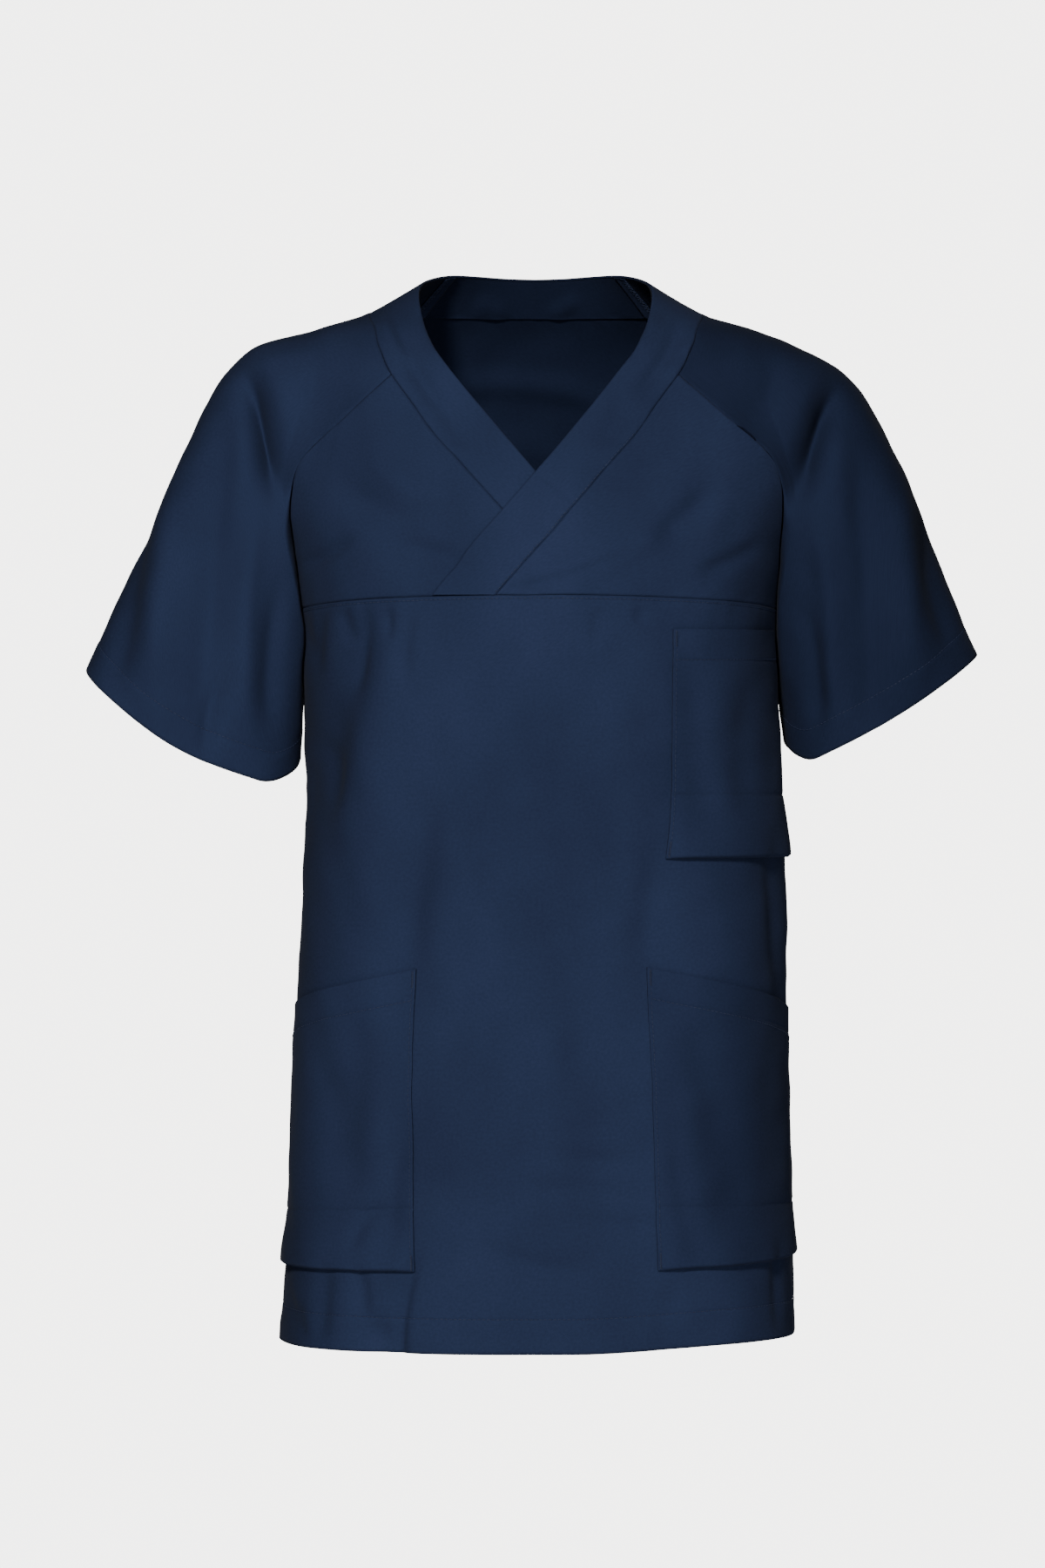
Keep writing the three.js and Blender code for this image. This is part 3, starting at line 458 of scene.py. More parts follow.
def fold_height(folds, x, y, z):
    """How far points of the front or back view are raised or sunk by the folds."""
    total = np.zeros(np.shape(x))
    for facing, x1, z1, x2, z2, bow, width, depth in zip(*(folds[name] for name in FOLDS.split())):
        dx, dz = x2 - x1, z2 - z1
        long = math.hypot(dx, dz)
        share = ((x - x1) * dx + (z - z1) * dz) / long**2
        off = ((x - x1) * dz - (z - z1) * dx) / long - 4 * bow * share * (1 - share)
        begins = smoothstep(share, -FOLD_FADE, FOLD_FADE)
        lasts = 1 - smoothstep(share, 1 - FOLD_FADE, 1 + FOLD_FADE)
        total += depth * hill(off, width) * begins * lasts * smoothstep(-y * facing, 0, FOLD_SIDE_FADE)
    return total


def super_reach(a, b, square):
    """The reach of a squared ellipse, from a direction's shares of its two half sizes."""
    return (np.abs(a) ** square + np.abs(b) ** square) ** (-1 / square)


def body_reach(sine, cosine, z):
    """The body's reach from its upright axis, in a direction given by its sine and cosine."""
    at = at_height(BODY, z)
    depth = np.where(cosine > 0, at["front"], at["back"])
    reach = super_reach(sine / at["half"], cosine / depth, BODY_SQUARE)
    x, y = at["centre"] + reach * sine, -reach * cosine
    soft = unevenness(x, y, 0.35 * z, BODY_BROAD, 3) + unevenness(x, 0.6 * y, z, BODY_FINE, 4)
    return reach + fold_height(BODY_FOLDS, x, y, z) + soft


def body_point(deg, z, inwards=0.0):
    """Points of the body's outer face."""
    deg, z = np.broadcast_arrays(np.asarray(deg, float), np.asarray(z, float))
    sine, cosine = np.sin(np.radians(deg)), np.cos(np.radians(deg))
    reach = body_reach(sine, cosine, z) - inwards
    return np.stack([at_height(BODY, z)["centre"] + reach * sine, -reach * cosine, z], -1)


def body_normal(deg, z, step=1.0):
    """The body's outward direction."""
    across = body_point(deg + step, z) - body_point(deg - step, z)
    up = body_point(deg, z + step) - body_point(deg, z - step)
    return unit(np.cross(across, up))


def even_rows(rows, first, last, shares, place):
    """Row numbers along a path, at shares of its length."""
    fine = np.linspace(first, last, 500)
    at = along(rows, fine)
    points = place(at["deg"], at["z"])
    travelled = travel(points, 0)
    return np.interp(shares, travelled / travelled[-1], fine)


def seam(rows, side, first, last, shares):
    """Places, as angle and height, along a seam of one side."""
    at = along(rows, even_rows(rows, first, last, shares, body_point))
    return np.stack([SIDES[side] * at["deg"], at["z"]], -1)


def chest_seam(from_deg, to_deg, shares):
    corner = RAGLAN_FRONT["deg"][RAGLAN_CHEST_SEAM]
    deg = lerp(from_deg, to_deg, shares)
    return np.stack([deg, CHEST_SEAM_Z - CHEST_SEAM_DROP * (deg / corner) ** 2], -1)


def hem_z(deg):
    """The height of the hem's edge, which lifts a little at the wearer's left side."""
    return HEM_Z + HEM_RISE_LEFT * smoothstep(np.sin(np.radians(deg)), 0.2, 0.9)


def spacing(length, start=True, end=True, cell=CELL, extra=()):
    """Shares of a length, a cell apart, and closer at each end that has a seam and round extra lines."""
    near = SEAM_ROWS / length
    low = near if start else near[:1]
    high = 1 - near[::-1] if end else 1 - near[:1]
    middle = np.linspace(low[-1], high[0], max(2, int(length * (high[0] - low[-1]) / cell)))[1:-1]
    for line in extra:
        close = (line + LINE_ROWS) / length
        middle = np.sort(np.concatenate([middle[(middle < close[0]) | (middle > close[-1])], close]))
    return np.concatenate([low, middle, high])


def patch(bottom, top, left, right, across, up):
    """A patch of places from its four edges. bottom and top run the same way, left and right go up."""
    u, v = across[None, :, None], up[:, None, None]
    between = lerp(bottom[None], top[None], v) + lerp(left[:, None], right[:, None], u)
    corners = lerp(lerp(bottom[0], bottom[-1], u), lerp(top[0], top[-1], u), v)
    return between - corners


def travel(points, axis):
    """Distances along a grid's rows or columns, from its start."""
    steps = np.linalg.norm(np.diff(points, axis=axis), axis=-1)
    start = np.zeros_like(np.take(steps, [0], axis=axis))
    return np.concatenate([start, np.cumsum(steps, axis=axis)], axis=axis)


def grid_normals(points, closed=False):
    """The outward direction at each point of a grid."""
    if closed:
        across = np.roll(points, -1, axis=1) - np.roll(points, 1, axis=1)
    else:
        across = np.gradient(points, axis=1)
    return unit(np.cross(across, np.gradient(points, axis=0)))


def seam_relief(distance, run, seed, stitched=None):
    """A seam's dip, its puckers and, where it is topstitched, the groove beside it."""
    puckers = unevenness(run, 0 * run, 0 * run, SEAM_PUCKERS, seed)
    relief = puckers * np.exp(-distance / SEAM_PUCKERS[1]) * smoothstep(distance, 0, 3)
    relief -= SEAM_DIP * hill(distance, SEAM_DIP_WIDTH)
    if stitched is not None:
        relief += STITCH_RIDGE * hill(distance - stitched / 2, stitched / 2)
        relief -= STITCH_GROOVE * hill(distance - stitched, SEAM_GROOVE_WIDTH)
    return relief


def filled_seam(distance, points):
    """Takes most of the dip away where the neck seam is seen end on, over the shoulders."""
    return SEAM_FILLED * hill(distance, SEAM_DIP_WIDTH) * smoothstep(points[..., 2], *SEAM_FILLED_Z)


def hem_relief(distance, run, seed, depth):
    """A turned hem: it stands out a little, with a groove at its stitches."""
    puckers = unevenness(run, 0.4 * distance, 0 * run, HEM_PUCKERS, seed)
    puckers *= np.exp(-np.abs(distance - depth) / 12)
    step = HEM_STEP * (1 - smoothstep(distance, depth - 1, depth + 2.5))
    return step + puckers - STITCH_GROOVE * hill(distance - depth, HEM_GROOVE_WIDTH)


def new_object(name, points, faces, uv=None):
    mesh = bpy.data.meshes.new(name)
    mesh.from_pydata((points * MM).tolist(), [], faces.tolist())
    mesh.polygons.foreach_set("use_smooth", np.ones(len(faces), bool))
    if uv is not None:
        layer = mesh.uv_layers.new(name="cloth")
        layer.data.foreach_set("uv", (uv[faces.ravel()] * MM).ravel())
    mesh.update()
    made = bpy.data.objects.new(name, mesh)
    bpy.context.scene.collection.objects.link(made)
    return made


# The outer face of each shell with its outward directions, on which the sewing is laid
outer_faces = {}


def shell(name, outer, normals, thickness, uv, closed=False):
    """A cloth piece as one closed mesh, its inner face a wall's thickness behind its outer one."""
    rows, width = outer.shape[:2]
    count = rows * width
    inner = outer - normals * np.broadcast_to(thickness, (rows, width))[..., None]
    points = np.concatenate([outer.reshape(-1, 3), inner.reshape(-1, 3)])
    index = np.arange(count).reshape(rows, width)
    if closed:
        index = np.concatenate([index, index[:, :1]], axis=1)
    corners = [index[:-1, :-1], index[:-1, 1:], index[1:, 1:], index[1:, :-1]]
    front = np.stack(corners, -1).reshape(-1, 4)
    rims = [index[0], index[-1, ::-1]]
    if not closed:
        rims += [index[::-1, 0], index[:, -1]]
    edges = [np.stack([line[1:], line[:-1], line[:-1] + count, line[1:] + count], -1) for line in rims]
    faces = np.concatenate([front, front[:, ::-1] + count, *edges])
    flat = uv.reshape(-1, 2)
    made = new_object(name, points, faces, np.concatenate([flat, flat]))
    sides = np.zeros(len(faces), np.int32)
    # the inner faces and the rims take the second material, a copy darkened as painted shade
    sides[len(front) :] = 1
    made.data.polygons.foreach_set("material_index", sides)
    if closed:
        outer, normals = (np.concatenate([array, array[:, :1]], axis=1) for array in (outer, normals))
    outer_faces[name] = outer, normals
    return made


def body_panel(name, places, hem=False, stitched=None, under=False):
    """A panel of the body from a grid of places, with its hem, and its top seam's stitches if it has any."""
    deg, z = places[..., 0], places[..., 1]
    points = body_point(deg, z, pressed_in(deg, z) if under else 0.0)
    normals = grid_normals(points)
    across, up = travel(points, 1), travel(points, 0)
    reach = {"bottom": up, "top": up[-1:] - up, "left": across, "right": across[:, -1:] - across}
    relief = np.zeros(deg.shape)
    for k, (edge, distance) in enumerate(reach.items()):
        run = across if edge in ("bottom", "top") else up
        if hem and edge == "bottom":
            relief += hem_relief(distance, run, 20 + k, HEM_DEPTH)
        else:
            relief += seam_relief(distance, run, 30 + k, stitched if edge == "top" else None)
    turned = (1 - smoothstep(up, HEM_DEPTH, HEM_DEPTH + 2)) * hem
    thickness = lerp(CLOTH_WALL, HEM_WALL, turned)
    uv = np.stack([across + 1000, up], -1)
    return shell(name, points + normals * relief[..., None], normals, thickness, uv)


def pressed_in(deg, z):
    """How far a place of the under layer is pressed in by the layer that crosses over it."""
    x = body_point(deg, z)[..., 0]
    dx, dz = OVERLAP_END[0] - V_POINT[0], OVERLAP_END[1] - V_POINT[1]
    past = ((x - V_POINT[0]) * -dz + (z - V_POINT[1]) * dx) / math.hypot(dx, dz)
    return UNDER_LAYER * smoothstep(past, -UNDER_LAYER_FAR, -UNDER_LAYER_NEAR)


def side_edge(side, raglan_rows, first, last, heights, raglan_shares):
    """One side edge of the front or back: the side seam, then the raglan seam above it."""
    low = np.stack([np.full(len(heights), SIDES[side] * 90.0), heights], -1)
    return np.concatenate([low, seam(raglan_rows, side, first, last, raglan_shares)[1:]])


def front_panel():
    corner = RAGLAN_FRONT["deg"][RAGLAN_CHEST_SEAM]
    across = spacing(BODY_ACROSS)
    shares = spacing(UNDERARM_Z - HEM_Z, False, False, extra=(HEM_DEPTH,))
    sides = {}
    for side in SIDES:
        heights = lerp(hem_z(SIDES[side] * 90), UNDERARM_Z, shares)
        armhole = spacing(FRONT_ARMHOLE, False, True)
        sides[side] = side_edge(side, RAGLAN_FRONT, RAGLAN_UNDERARM, RAGLAN_CHEST_SEAM, heights, armhole)
    deg = lerp(-90, 90, across)
    hem = np.stack([deg, hem_z(deg)], -1)
    up = np.linspace(0, 1, len(sides["right"]))
    places = patch(hem, chest_seam(-corner, corner, across), sides["right"], sides["left"], across, up)
    return body_panel("front_cloth", places, hem=True, stitched=STITCHES_FROM_SEAM)


def back_panel():
    across = spacing(BODY_ACROSS, cell=3.2)
    shares = spacing(UNDERARM_Z - HEM_Z, False, False, cell=3.1, extra=(HEM_DEPTH,))
    edges = {}
    for side in SIDES:
        heights = lerp(hem_z(SIDES[side] * 90), UNDERARM_Z, shares)
        armhole = spacing(BACK_ARMHOLE, False, True, cell=3.1)
        edge = side_edge(side, RAGLAN_BACK, RAGLAN_BACK_UNDERARM, 0, heights, armhole)
        edge[:, 0] = np.where(edge[:, 0] < 0, edge[:, 0] + 360, edge[:, 0])
        edges[side] = edge
    deg = lerp(90, 270, across)
    hem = np.stack([deg, hem_z(deg)], -1)
    half = seam(NECK_SEAM, "left", NECK_RAGLAN_BACK, NECK_MIDDLE_BACK, np.clip(across * 2, 0, 1))
    other = seam(NECK_SEAM, "left", NECK_RAGLAN_BACK, NECK_MIDDLE_BACK, np.clip(2 - across * 2, 0, 1))
    neck = np.where((across < 0.5)[:, None], half, other * [-1, 1] + [360, 0])
    up = np.linspace(0, 1, len(edges["left"]))
    places = patch(hem, neck, edges["left"], edges["right"], across, up)
    return body_panel("back_cloth", places, hem=True)


def yoke(side):
    out = SIDES[side]
    corner = RAGLAN_FRONT["deg"][RAGLAN_CHEST_SEAM]
    across, up = spacing(YOKE_ACROSS, cell=2.4), spacing(YOKE_UP, cell=2.4)
    bottom = chest_seam(out * corner, out * NECK_SEAM["deg"][0], across)
    top = seam(RAGLAN_FRONT, side, RAGLAN_BEND, 0, across)
    outer = seam(RAGLAN_FRONT, side, RAGLAN_CHEST_SEAM, RAGLAN_BEND, up)
    inner = seam(NECK_SEAM, side, NECK_CHEST_SEAM, NECK_RAGLAN_FRONT, up)
    places = patch(bottom, top, outer, inner, across, up)
    if side == "left":
        places = places[:, ::-1]
    return body_panel(f"yoke_{side}_cloth", places, under=side == "right")


def band_point(seam_at, edge_at, share, side):
    """Points of the neck band between its seam and its free edge."""
    deg = lerp(seam_at["deg"], edge_at["deg"], share)
    z = lerp(seam_at["z"], edge_at["z"], share)
    sign = SIDES[side]
    on_chest = body_point(sign * deg, z, pressed_in(sign * deg, z) if side == "right" else 0.0)
    start = body_point(sign * seam_at["deg"], seam_at["z"])
    centre = at_height(BODY, seam_at["z"])["centre"]
    start_reach = np.hypot(start[..., 0] - centre, start[..., 1])
    reach = lerp(start_reach, edge_at["reach"], share)
    angle = np.radians(sign * deg)
    free = np.stack([centre + reach * np.sin(angle), -reach * np.cos(angle), z], -1)
    return lerp(on_chest, free, smoothstep(deg, *BAND_LEAVES_CHEST)[..., None])


def half_band(side, shares_front, shares_back, across):
    """Half of the neck band, from the chest seam to the middle of the back, and where its joint lies."""
    seam_parts = (NECK_CHEST_SEAM, NECK_RAGLAN_BACK, NECK_MIDDLE_BACK)
    edge_parts = (EDGE_CHEST_SEAM, EDGE_JOINT, EDGE_MIDDLE_BACK)

    def joined(rows, parts, place):
        front = even_rows(rows, parts[0], parts[1], shares_front, place)
        back = even_rows(rows, parts[1], parts[2], shares_back, place)
        return np.concatenate([front, back[1:]])

    def near_edge(deg, z):
        return body_point(deg, z) * [0.8, 0.8, 1]

    seam_at = along(NECK_SEAM, joined(NECK_SEAM, seam_parts, body_point))
    edge_at = along(FREE_EDGE, joined(FREE_EDGE, edge_parts, near_edge))
    seam_at, edge_at = ({name: column[None] for name, column in at.items()} for at in (seam_at, edge_at))
    points = band_point(seam_at, edge_at, across[:, None], side)
    normals = grid_normals(points) * SIDES[side]
    return points, normals, len(shares_front) - 1


def band_piece(name, points, normals, seed):
    across, run = travel(points, 0), travel(points, 1)
    width = across[-1:]
    relief = seam_relief(across, run, seed) + 0.35 * np.sin(np.pi * across / width)
    relief -= 0.5 * smoothstep(across, width - 1.2, width)
    relief += fold_height(BAND_FOLDS, *np.moveaxis(points, -1, 0)) + filled_seam(across, points)
    uv = np.stack([run, across], -1)
    return shell(name, points + normals * relief[..., None], normals, BAND_WALL, uv)


def bands():
    front, back = spacing(BAND_FRONT, cell=2.2), spacing(BAND_BACK, cell=2.2)
    across = spacing(BAND_ACROSS, cell=2)
    pieces = {}
    ends = {}
    for side in SIDES:
        points, normals, joint = half_band(side, front, back, across)
        ends[side] = (points[:, joint:], normals[:, joint:])
        points, normals = points[:, : joint + 1], normals[:, : joint + 1]
        if side == "right":
            points, normals = points[:, ::-1], normals[:, ::-1]
        pieces[f"band_{side}"] = band_piece(f"band_{side}_cloth", points, normals, 50 + SIDES[side])
    points, normals = (
        np.concatenate([left, right[:, -2::-1]], axis=1) for left, right in zip(ends["left"], ends["right"])
    )
    pieces["band_back"] = band_piece("band_back_cloth", points, normals, 60)
    return pieces


def sleeve_frame(side, row):
    """A sleeve's own frame at a station: its section's sizes, centre and directions."""
    sign = SIDES[side]
    at = along(SLEEVES[side], row)
    lean = np.radians(at["lean"])
    none = np.zeros_like(lean)
    inwards = np.stack([-sign * np.cos(lean), none, -np.sin(lean)], -1)
    down = np.stack([sign * np.sin(lean), none, -np.cos(lean)], -1)
    outline = np.stack([sign * at["out"], at["middle"], at["z"]], -1)
    return at, inwards, down, outline, outline + inwards * at["half"][..., None]


def on_tube(side, row, turn):
    """Points of a sleeve's tube. turn is 0 on its upper line and positive over the front."""
    at, inwards, down, _, centre = sleeve_frame(side, row)
    cosine, sine = np.cos(turn), np.sin(turn)
    reach = super_reach(cosine / at["half"], sine / at["depth"], SLEEVE_SQUARE)
    outwards = -inwards * cosine[..., None] + np.stack([0 * sine, -sine, 0 * sine], -1)
    points = centre + outwards * reach[..., None] + down * (at["fore"] * sine)[..., None]
    x, y, z = np.moveaxis(points, -1, 0)
    height = fold_height(SLEEVE_FOLDS[side], x, y, z)
    height += unevenness(x, y, 0.4 * z, SLEEVE_BROAD, 8 + SIDES[side])
    height += unevenness(x, y, z, SLEEVE_FINE, 12 + SIDES[side])
    return points + outwards * height[..., None]


def soft_max(a, b, blend):
    """The larger of two numbers, rounded over where they are nearly the same."""
    h = np.maximum(blend - np.abs(a - b), 0) / blend
    return np.maximum(a, b) + h * h * blend / 4


def on_sleeve(side, row, turn, clearance):
    """The tube where it is clear of the body, and the body's own face where it isn't."""
    points = on_tube(side, row, turn)
    z = points[..., 2]
    centre = at_height(BODY, z)["centre"]
    dx, dy = points[..., 0] - centre, points[..., 1]
    own = np.hypot(dx, dy)
    body = body_reach(dx / own, -dy / own, z) + clearance
    blend = lerp(SLEEVE_BLEND_LOW, SLEEVE_BLEND_HIGH, smoothstep(z, *SLEEVE_BLEND_Z))
    reach = soft_max(own, body, blend)
    return np.stack([centre + dx * reach / own, dy * reach / own, z], -1)


def sleeve_place(side, points):
    """Which station and turn of the sleeve points belong to."""
    rows = np.linspace(0, CUFF_ROW, 801)
    at, inwards, down, outline, centre = sleeve_frame(side, rows)
    off = np.abs(np.einsum("nkc,kc->nk", points[:, None] - outline, down))
    depth = np.einsum("nkc,kc->nk", points[:, None] - outline, inwards)
    miss = off + np.maximum(0, -depth) + np.maximum(0, depth - 2.2 * at["half"])
    best = miss.argmin(axis=1)
    reach = points - centre[best]
    return rows[best], np.arctan2(-reach[:, 1], -(reach * inwards[best]).sum(axis=1))


def facing_body(z):
    """How far sleeve and body lie face to face at their seam."""
    return 1 - smoothstep(z, *FOLDS_OVER_BODY)


def sleeve_edge(side):
    """The closed edge of a sleeve: up the front raglan seam, over the neck and down the back one."""
    parts = [
        (RAGLAN_FRONT, RAGLAN_UNDERARM, RAGLAN_CHEST_SEAM, 24),
        (RAGLAN_FRONT, RAGLAN_CHEST_SEAM, RAGLAN_BEND, 54),
        (RAGLAN_FRONT, RAGLAN_BEND, 0, 50),
        (NECK_SEAM, NECK_RAGLAN_FRONT, NECK_RAGLAN_BACK, 44),
        (RAGLAN_BACK, 0, RAGLAN_BACK_UNDERARM, 96),
    ]
    lines = [seam(rows, side, a, b, np.linspace(0, 1, columns + 1))[:-1] for rows, a, b, columns in parts]
    return np.concatenate(lines)


def sleeve_seam_row(side, places):
    """The sleeve's first row, just clear of the panels' edges."""
    deg, z = places.T
    points = body_point(deg, z)
    normals = body_normal(deg, z)
    run = unit(np.roll(points, -1, axis=0) - np.roll(points, 1, axis=0))
    away = np.array([SIDES[side], 0, SEAM_AWAY_UP])
    away = away - run * (run @ away)[:, None]
    away = unit(away - normals * (normals * away).sum(axis=1, keepdims=True))
    return points + away * SEAM_CLEARANCE + normals * (facing_body(z) * 2 * SEAM_CLEARANCE)[:, None]


def sleeve_turns(side, places, first):
    """Each column's station and turn at the seam, and the turn that it comes to further down."""
    travelled = travel(np.concatenate([first, first[:1]]), 0)
    neck = np.flatnonzero(places[:, 1] > NECK_SEAM["z"][NECK_RAGLAN_FRONT])[0]
    top = neck + np.flatnonzero(np.abs(places[neck:, 0]) >= 89)[0]
    in_front = np.arange(len(places)) <= top
    past = travelled[:-1]
    front_turns = np.pi * (1 - past / travelled[top])
    back_turns = -np.pi * (past - travelled[top]) / (travelled[-1] - travelled[top])
    rows, starts = sleeve_place(side, first)
    starts = np.where(~in_front & (starts > 0), starts - math.tau, starts)
    starts = np.where(in_front & (starts < -1), starts + math.tau, starts)
    starts[0] = np.pi
    return rows, starts, np.where(in_front, front_turns, back_turns)


def sleeve_grid(side):
    """The points of a sleeve, from its seam down to its hem, whose inner corner is cut short."""
    places = sleeve_edge(side)
    first = sleeve_seam_row(side, places)
    rows, starts, turns = sleeve_turns(side, places, first)
    stations = sleeve_frame(side, np.array([CUFF_ROW - 1.0, CUFF_ROW]))[3]
    per_row = np.linalg.norm(stations[1] - stations[0])
    corner = CUFF_CORNER / per_row * smoothstep(np.abs(turns), np.pi - CUFF_CORNER_TURN, np.pi)
    hem_length = CUFF_HEM_DEPTH + 3
    hem_start = CUFF_ROW - corner - hem_length / per_row
    facing = facing_body(places[:, 1])
    clear = np.maximum(facing, smoothstep(SLEEVE_SHARES, 0.3, 0.6)) * SLEEVE_CLEARANCE
    leaving = 1 - (1 - SLEEVE_SHARES) ** SEAM_LEFT_BY
    down = on_sleeve(side, lerp(rows, hem_start, SLEEVE_SHARES), lerp(starts, turns, leaving), clear)
    miss = first - on_sleeve(side, rows, starts, facing * SLEEVE_CLEARANCE)
    down += miss * (1 - smoothstep(SLEEVE_SHARES, 0, SEAM_EASE))[..., None]
    hem_shares = spacing(hem_length, False, False, cell=2, extra=(3,))[1:, None]
    hem_rows = lerp(hem_start, CUFF_ROW - corner, hem_shares)
    hem = on_sleeve(side, hem_rows, turns + 0 * hem_rows, SLEEVE_CLEARANCE)
    return np.concatenate([first[None], down, hem])


def sleeve(side):
    points = sleeve_grid(side)
    if side == "left":
        points = points[:, ::-1]
    normals = grid_normals(points, closed=True)
    down = travel(points, 0)
    run = travel(points, 1)
    to_hem = down[-1:] - down
    relief = seam_relief(down, run, 70 + SIDES[side]) + hem_relief(to_hem, run, 80, CUFF_HEM_DEPTH)
    relief += filled_seam(down, points)
    outer = points + normals * relief[..., None]
    thickness = lerp(CLOTH_WALL, HEM_WALL, 1 - smoothstep(to_hem, CUFF_HEM_DEPTH, CUFF_HEM_DEPTH + 2))
    uv = np.stack([run, down], -1)
    return shell(f"sleeve_{side}_cloth", outer, normals, thickness, uv, closed=True)


def armhole_deg(z):
    """The angle of the front raglan seam at a height."""
    low = slice(RAGLAN_BEND, None)
    return np.interp(-z, -RAGLAN_FRONT["z"][low], RAGLAN_FRONT["deg"][low])


def pocket_outer_deg(z):
    """The angle of a pocket's outer edge: just before the side seam, and clear of the armhole."""
    near = z + POCKET_FROM_ARMHOLE_Z
    away = POCKET_FROM_ARMHOLE_DEG * smoothstep(near - UNDERARM_Z, 0, 20)
    high = np.minimum(POCKET_OUTER_DEG, armhole_deg(near) - away)
    return np.where(near <= UNDERARM_Z, POCKET_OUTER_DEG, high)


def pocket_place(pocket, u, v):
    """Angle and height of a place on a pocket, u from its inner to its outer edge and v up its height."""
    low = lerp(pocket["bottom_inner"], pocket["bottom_outer"], u)
    z = lerp(low, lerp(pocket["top_inner"], pocket["top_outer"], u), v)
    deg = lerp(lerp(pocket["inner_bottom"], pocket["inner_top"], v), pocket_outer_deg(z), u)
    return SIDES[pocket["side"]] * deg, z


def pocket(name, spec):
    height = spec["top_inner"] - spec["bottom_inner"]
    turned_z = height - POCKET_TURN
    u = spacing(POCKET_ACROSS, cell=2.2)
    v = spacing(height, cell=2.4, extra=(POCKET_TUCK, turned_z))
    u, v = np.meshgrid(u, v)
    deg, z = pocket_place(spec, u, v)
    base, normals = body_point(deg, z), body_normal(deg, z)
    up = v * height
    swell = np.sin(np.pi * np.clip(u, 0, 1)) ** 0.7
    tuck = np.minimum(1, 3 * swell) * (1 - smoothstep(up, 4, POCKET_TUCK + 1)) * smoothstep(up, -1, 2)
    lift = POCKET_LIFT["sewn"] + POCKET_LIFT["bottom"] * tuck
    lift += POCKET_LIFT["middle"] * swell * np.sin(np.pi * np.clip(v + 0.1, 0, 1))
    lift += POCKET_LIFT["mouth"] * swell * smoothstep(v, 0.8, 1)
    lift -= POCKET_TUCK_LINE * hill(up - POCKET_TUCK, 1.6)
    lift -= POCKET_TURN_LINE * hill(up - turned_z, HEM_GROOVE_WIDTH)
    points = base + normals * lift[..., None]
    across = travel(points, 1)
    soft = unevenness(across, up, 0 * up, POCKET_UNEVEN, 90 + len(name)) * swell
    points = points + normals * soft[..., None]
    if spec["side"] == "right":
        points, normals, across, up = (array[:, ::-1] for array in (points, normals, across, up))
    uv = np.stack([across, up], -1)
    thickness = lerp(CLOTH_WALL, HEM_WALL, smoothstep(up, turned_z - 1, turned_z + 1))
    return shell(f"{name}_cloth", points, normals, np.minimum(thickness, POCKET_WALL_MOST), uv)


# Sewing
THREAD = 0.24
STITCH, STITCH_GAP = 2.5, 0.7
STITCHES_FROM_SEAM = 2.6
STITCHES_FROM_POCKET_EDGE = 2.4
BAR_TACK = 11
ALLOWANCE = 12


def line_on(face, edge, distance):
    """A line on a face at a distance from one of its edges, with its outward directions."""
    points, normals = face
    if edge in ("left", "right"):
        points, normals = points.swapaxes(0, 1), normals.swapaxes(0, 1)
    if edge in ("top", "right"):
        points, normals = points[::-1], normals[::-1]
    reach = travel(points, 0)
    row = np.clip((reach < distance).sum(axis=0), 1, len(reach) - 1)
    column = np.arange(points.shape[1])
    before, after = reach[row - 1, column], reach[row, column]
    t = ((distance - before) / (after - before))[:, None]
    return tuple(lerp(array[row - 1, column], array[row, column], t) for array in (points, normals))


def interpolated(at, known, columns):
    """Points between the known ones, straight from one to the next."""
    return np.stack([np.interp(at, known, columns[:, k]) for k in range(3)], -1)


def spots(line, at):
    """Points and outward directions at distances along a line."""
    points, normals = line
    travelled = np.concatenate([[0], np.cumsum(np.linalg.norm(np.diff(points, axis=0), axis=1))])
    return interpolated(at, travelled, points), interpolated(at, travelled, normals)


def line_length(line):
    return np.linalg.norm(np.diff(line[0], axis=0), axis=1).sum()


def stitches(line, start=2.0, end=2.0):
    """A row of stitches along a line: their starts, ends and outward directions."""
    long = line_length(line) - start - end
    count = int(long / (STITCH + STITCH_GAP))
    at = start + (np.arange(count) + 0.5) * long / count
    return spots(line, at - STITCH / 2)[0], spots(line, at + STITCH / 2)[0], unit(spots(line, at)[1])


def bar_tack(line, start):
    """A short dense row of stitches across a line."""
    at = start + np.arange(0, BAR_TACK, 0.55)
    points, normals = spots(line, at)
    run = unit(np.gradient(points, axis=0))
    across = np.cross(normals, run) * 0.9
    slant = run * 0.25
    return points - across - slant, points + across + slant, unit(normals)


# Rings of a stitch: how far along it, how high and how wide, as a share of the thread's
STITCH_RINGS = ((0, -0.12, 0.6), (0.2, 0.06, 0.95), (0.5, 0.12, 1), (0.8, 0.06, 0.95), (1, -0.12, 0.6))


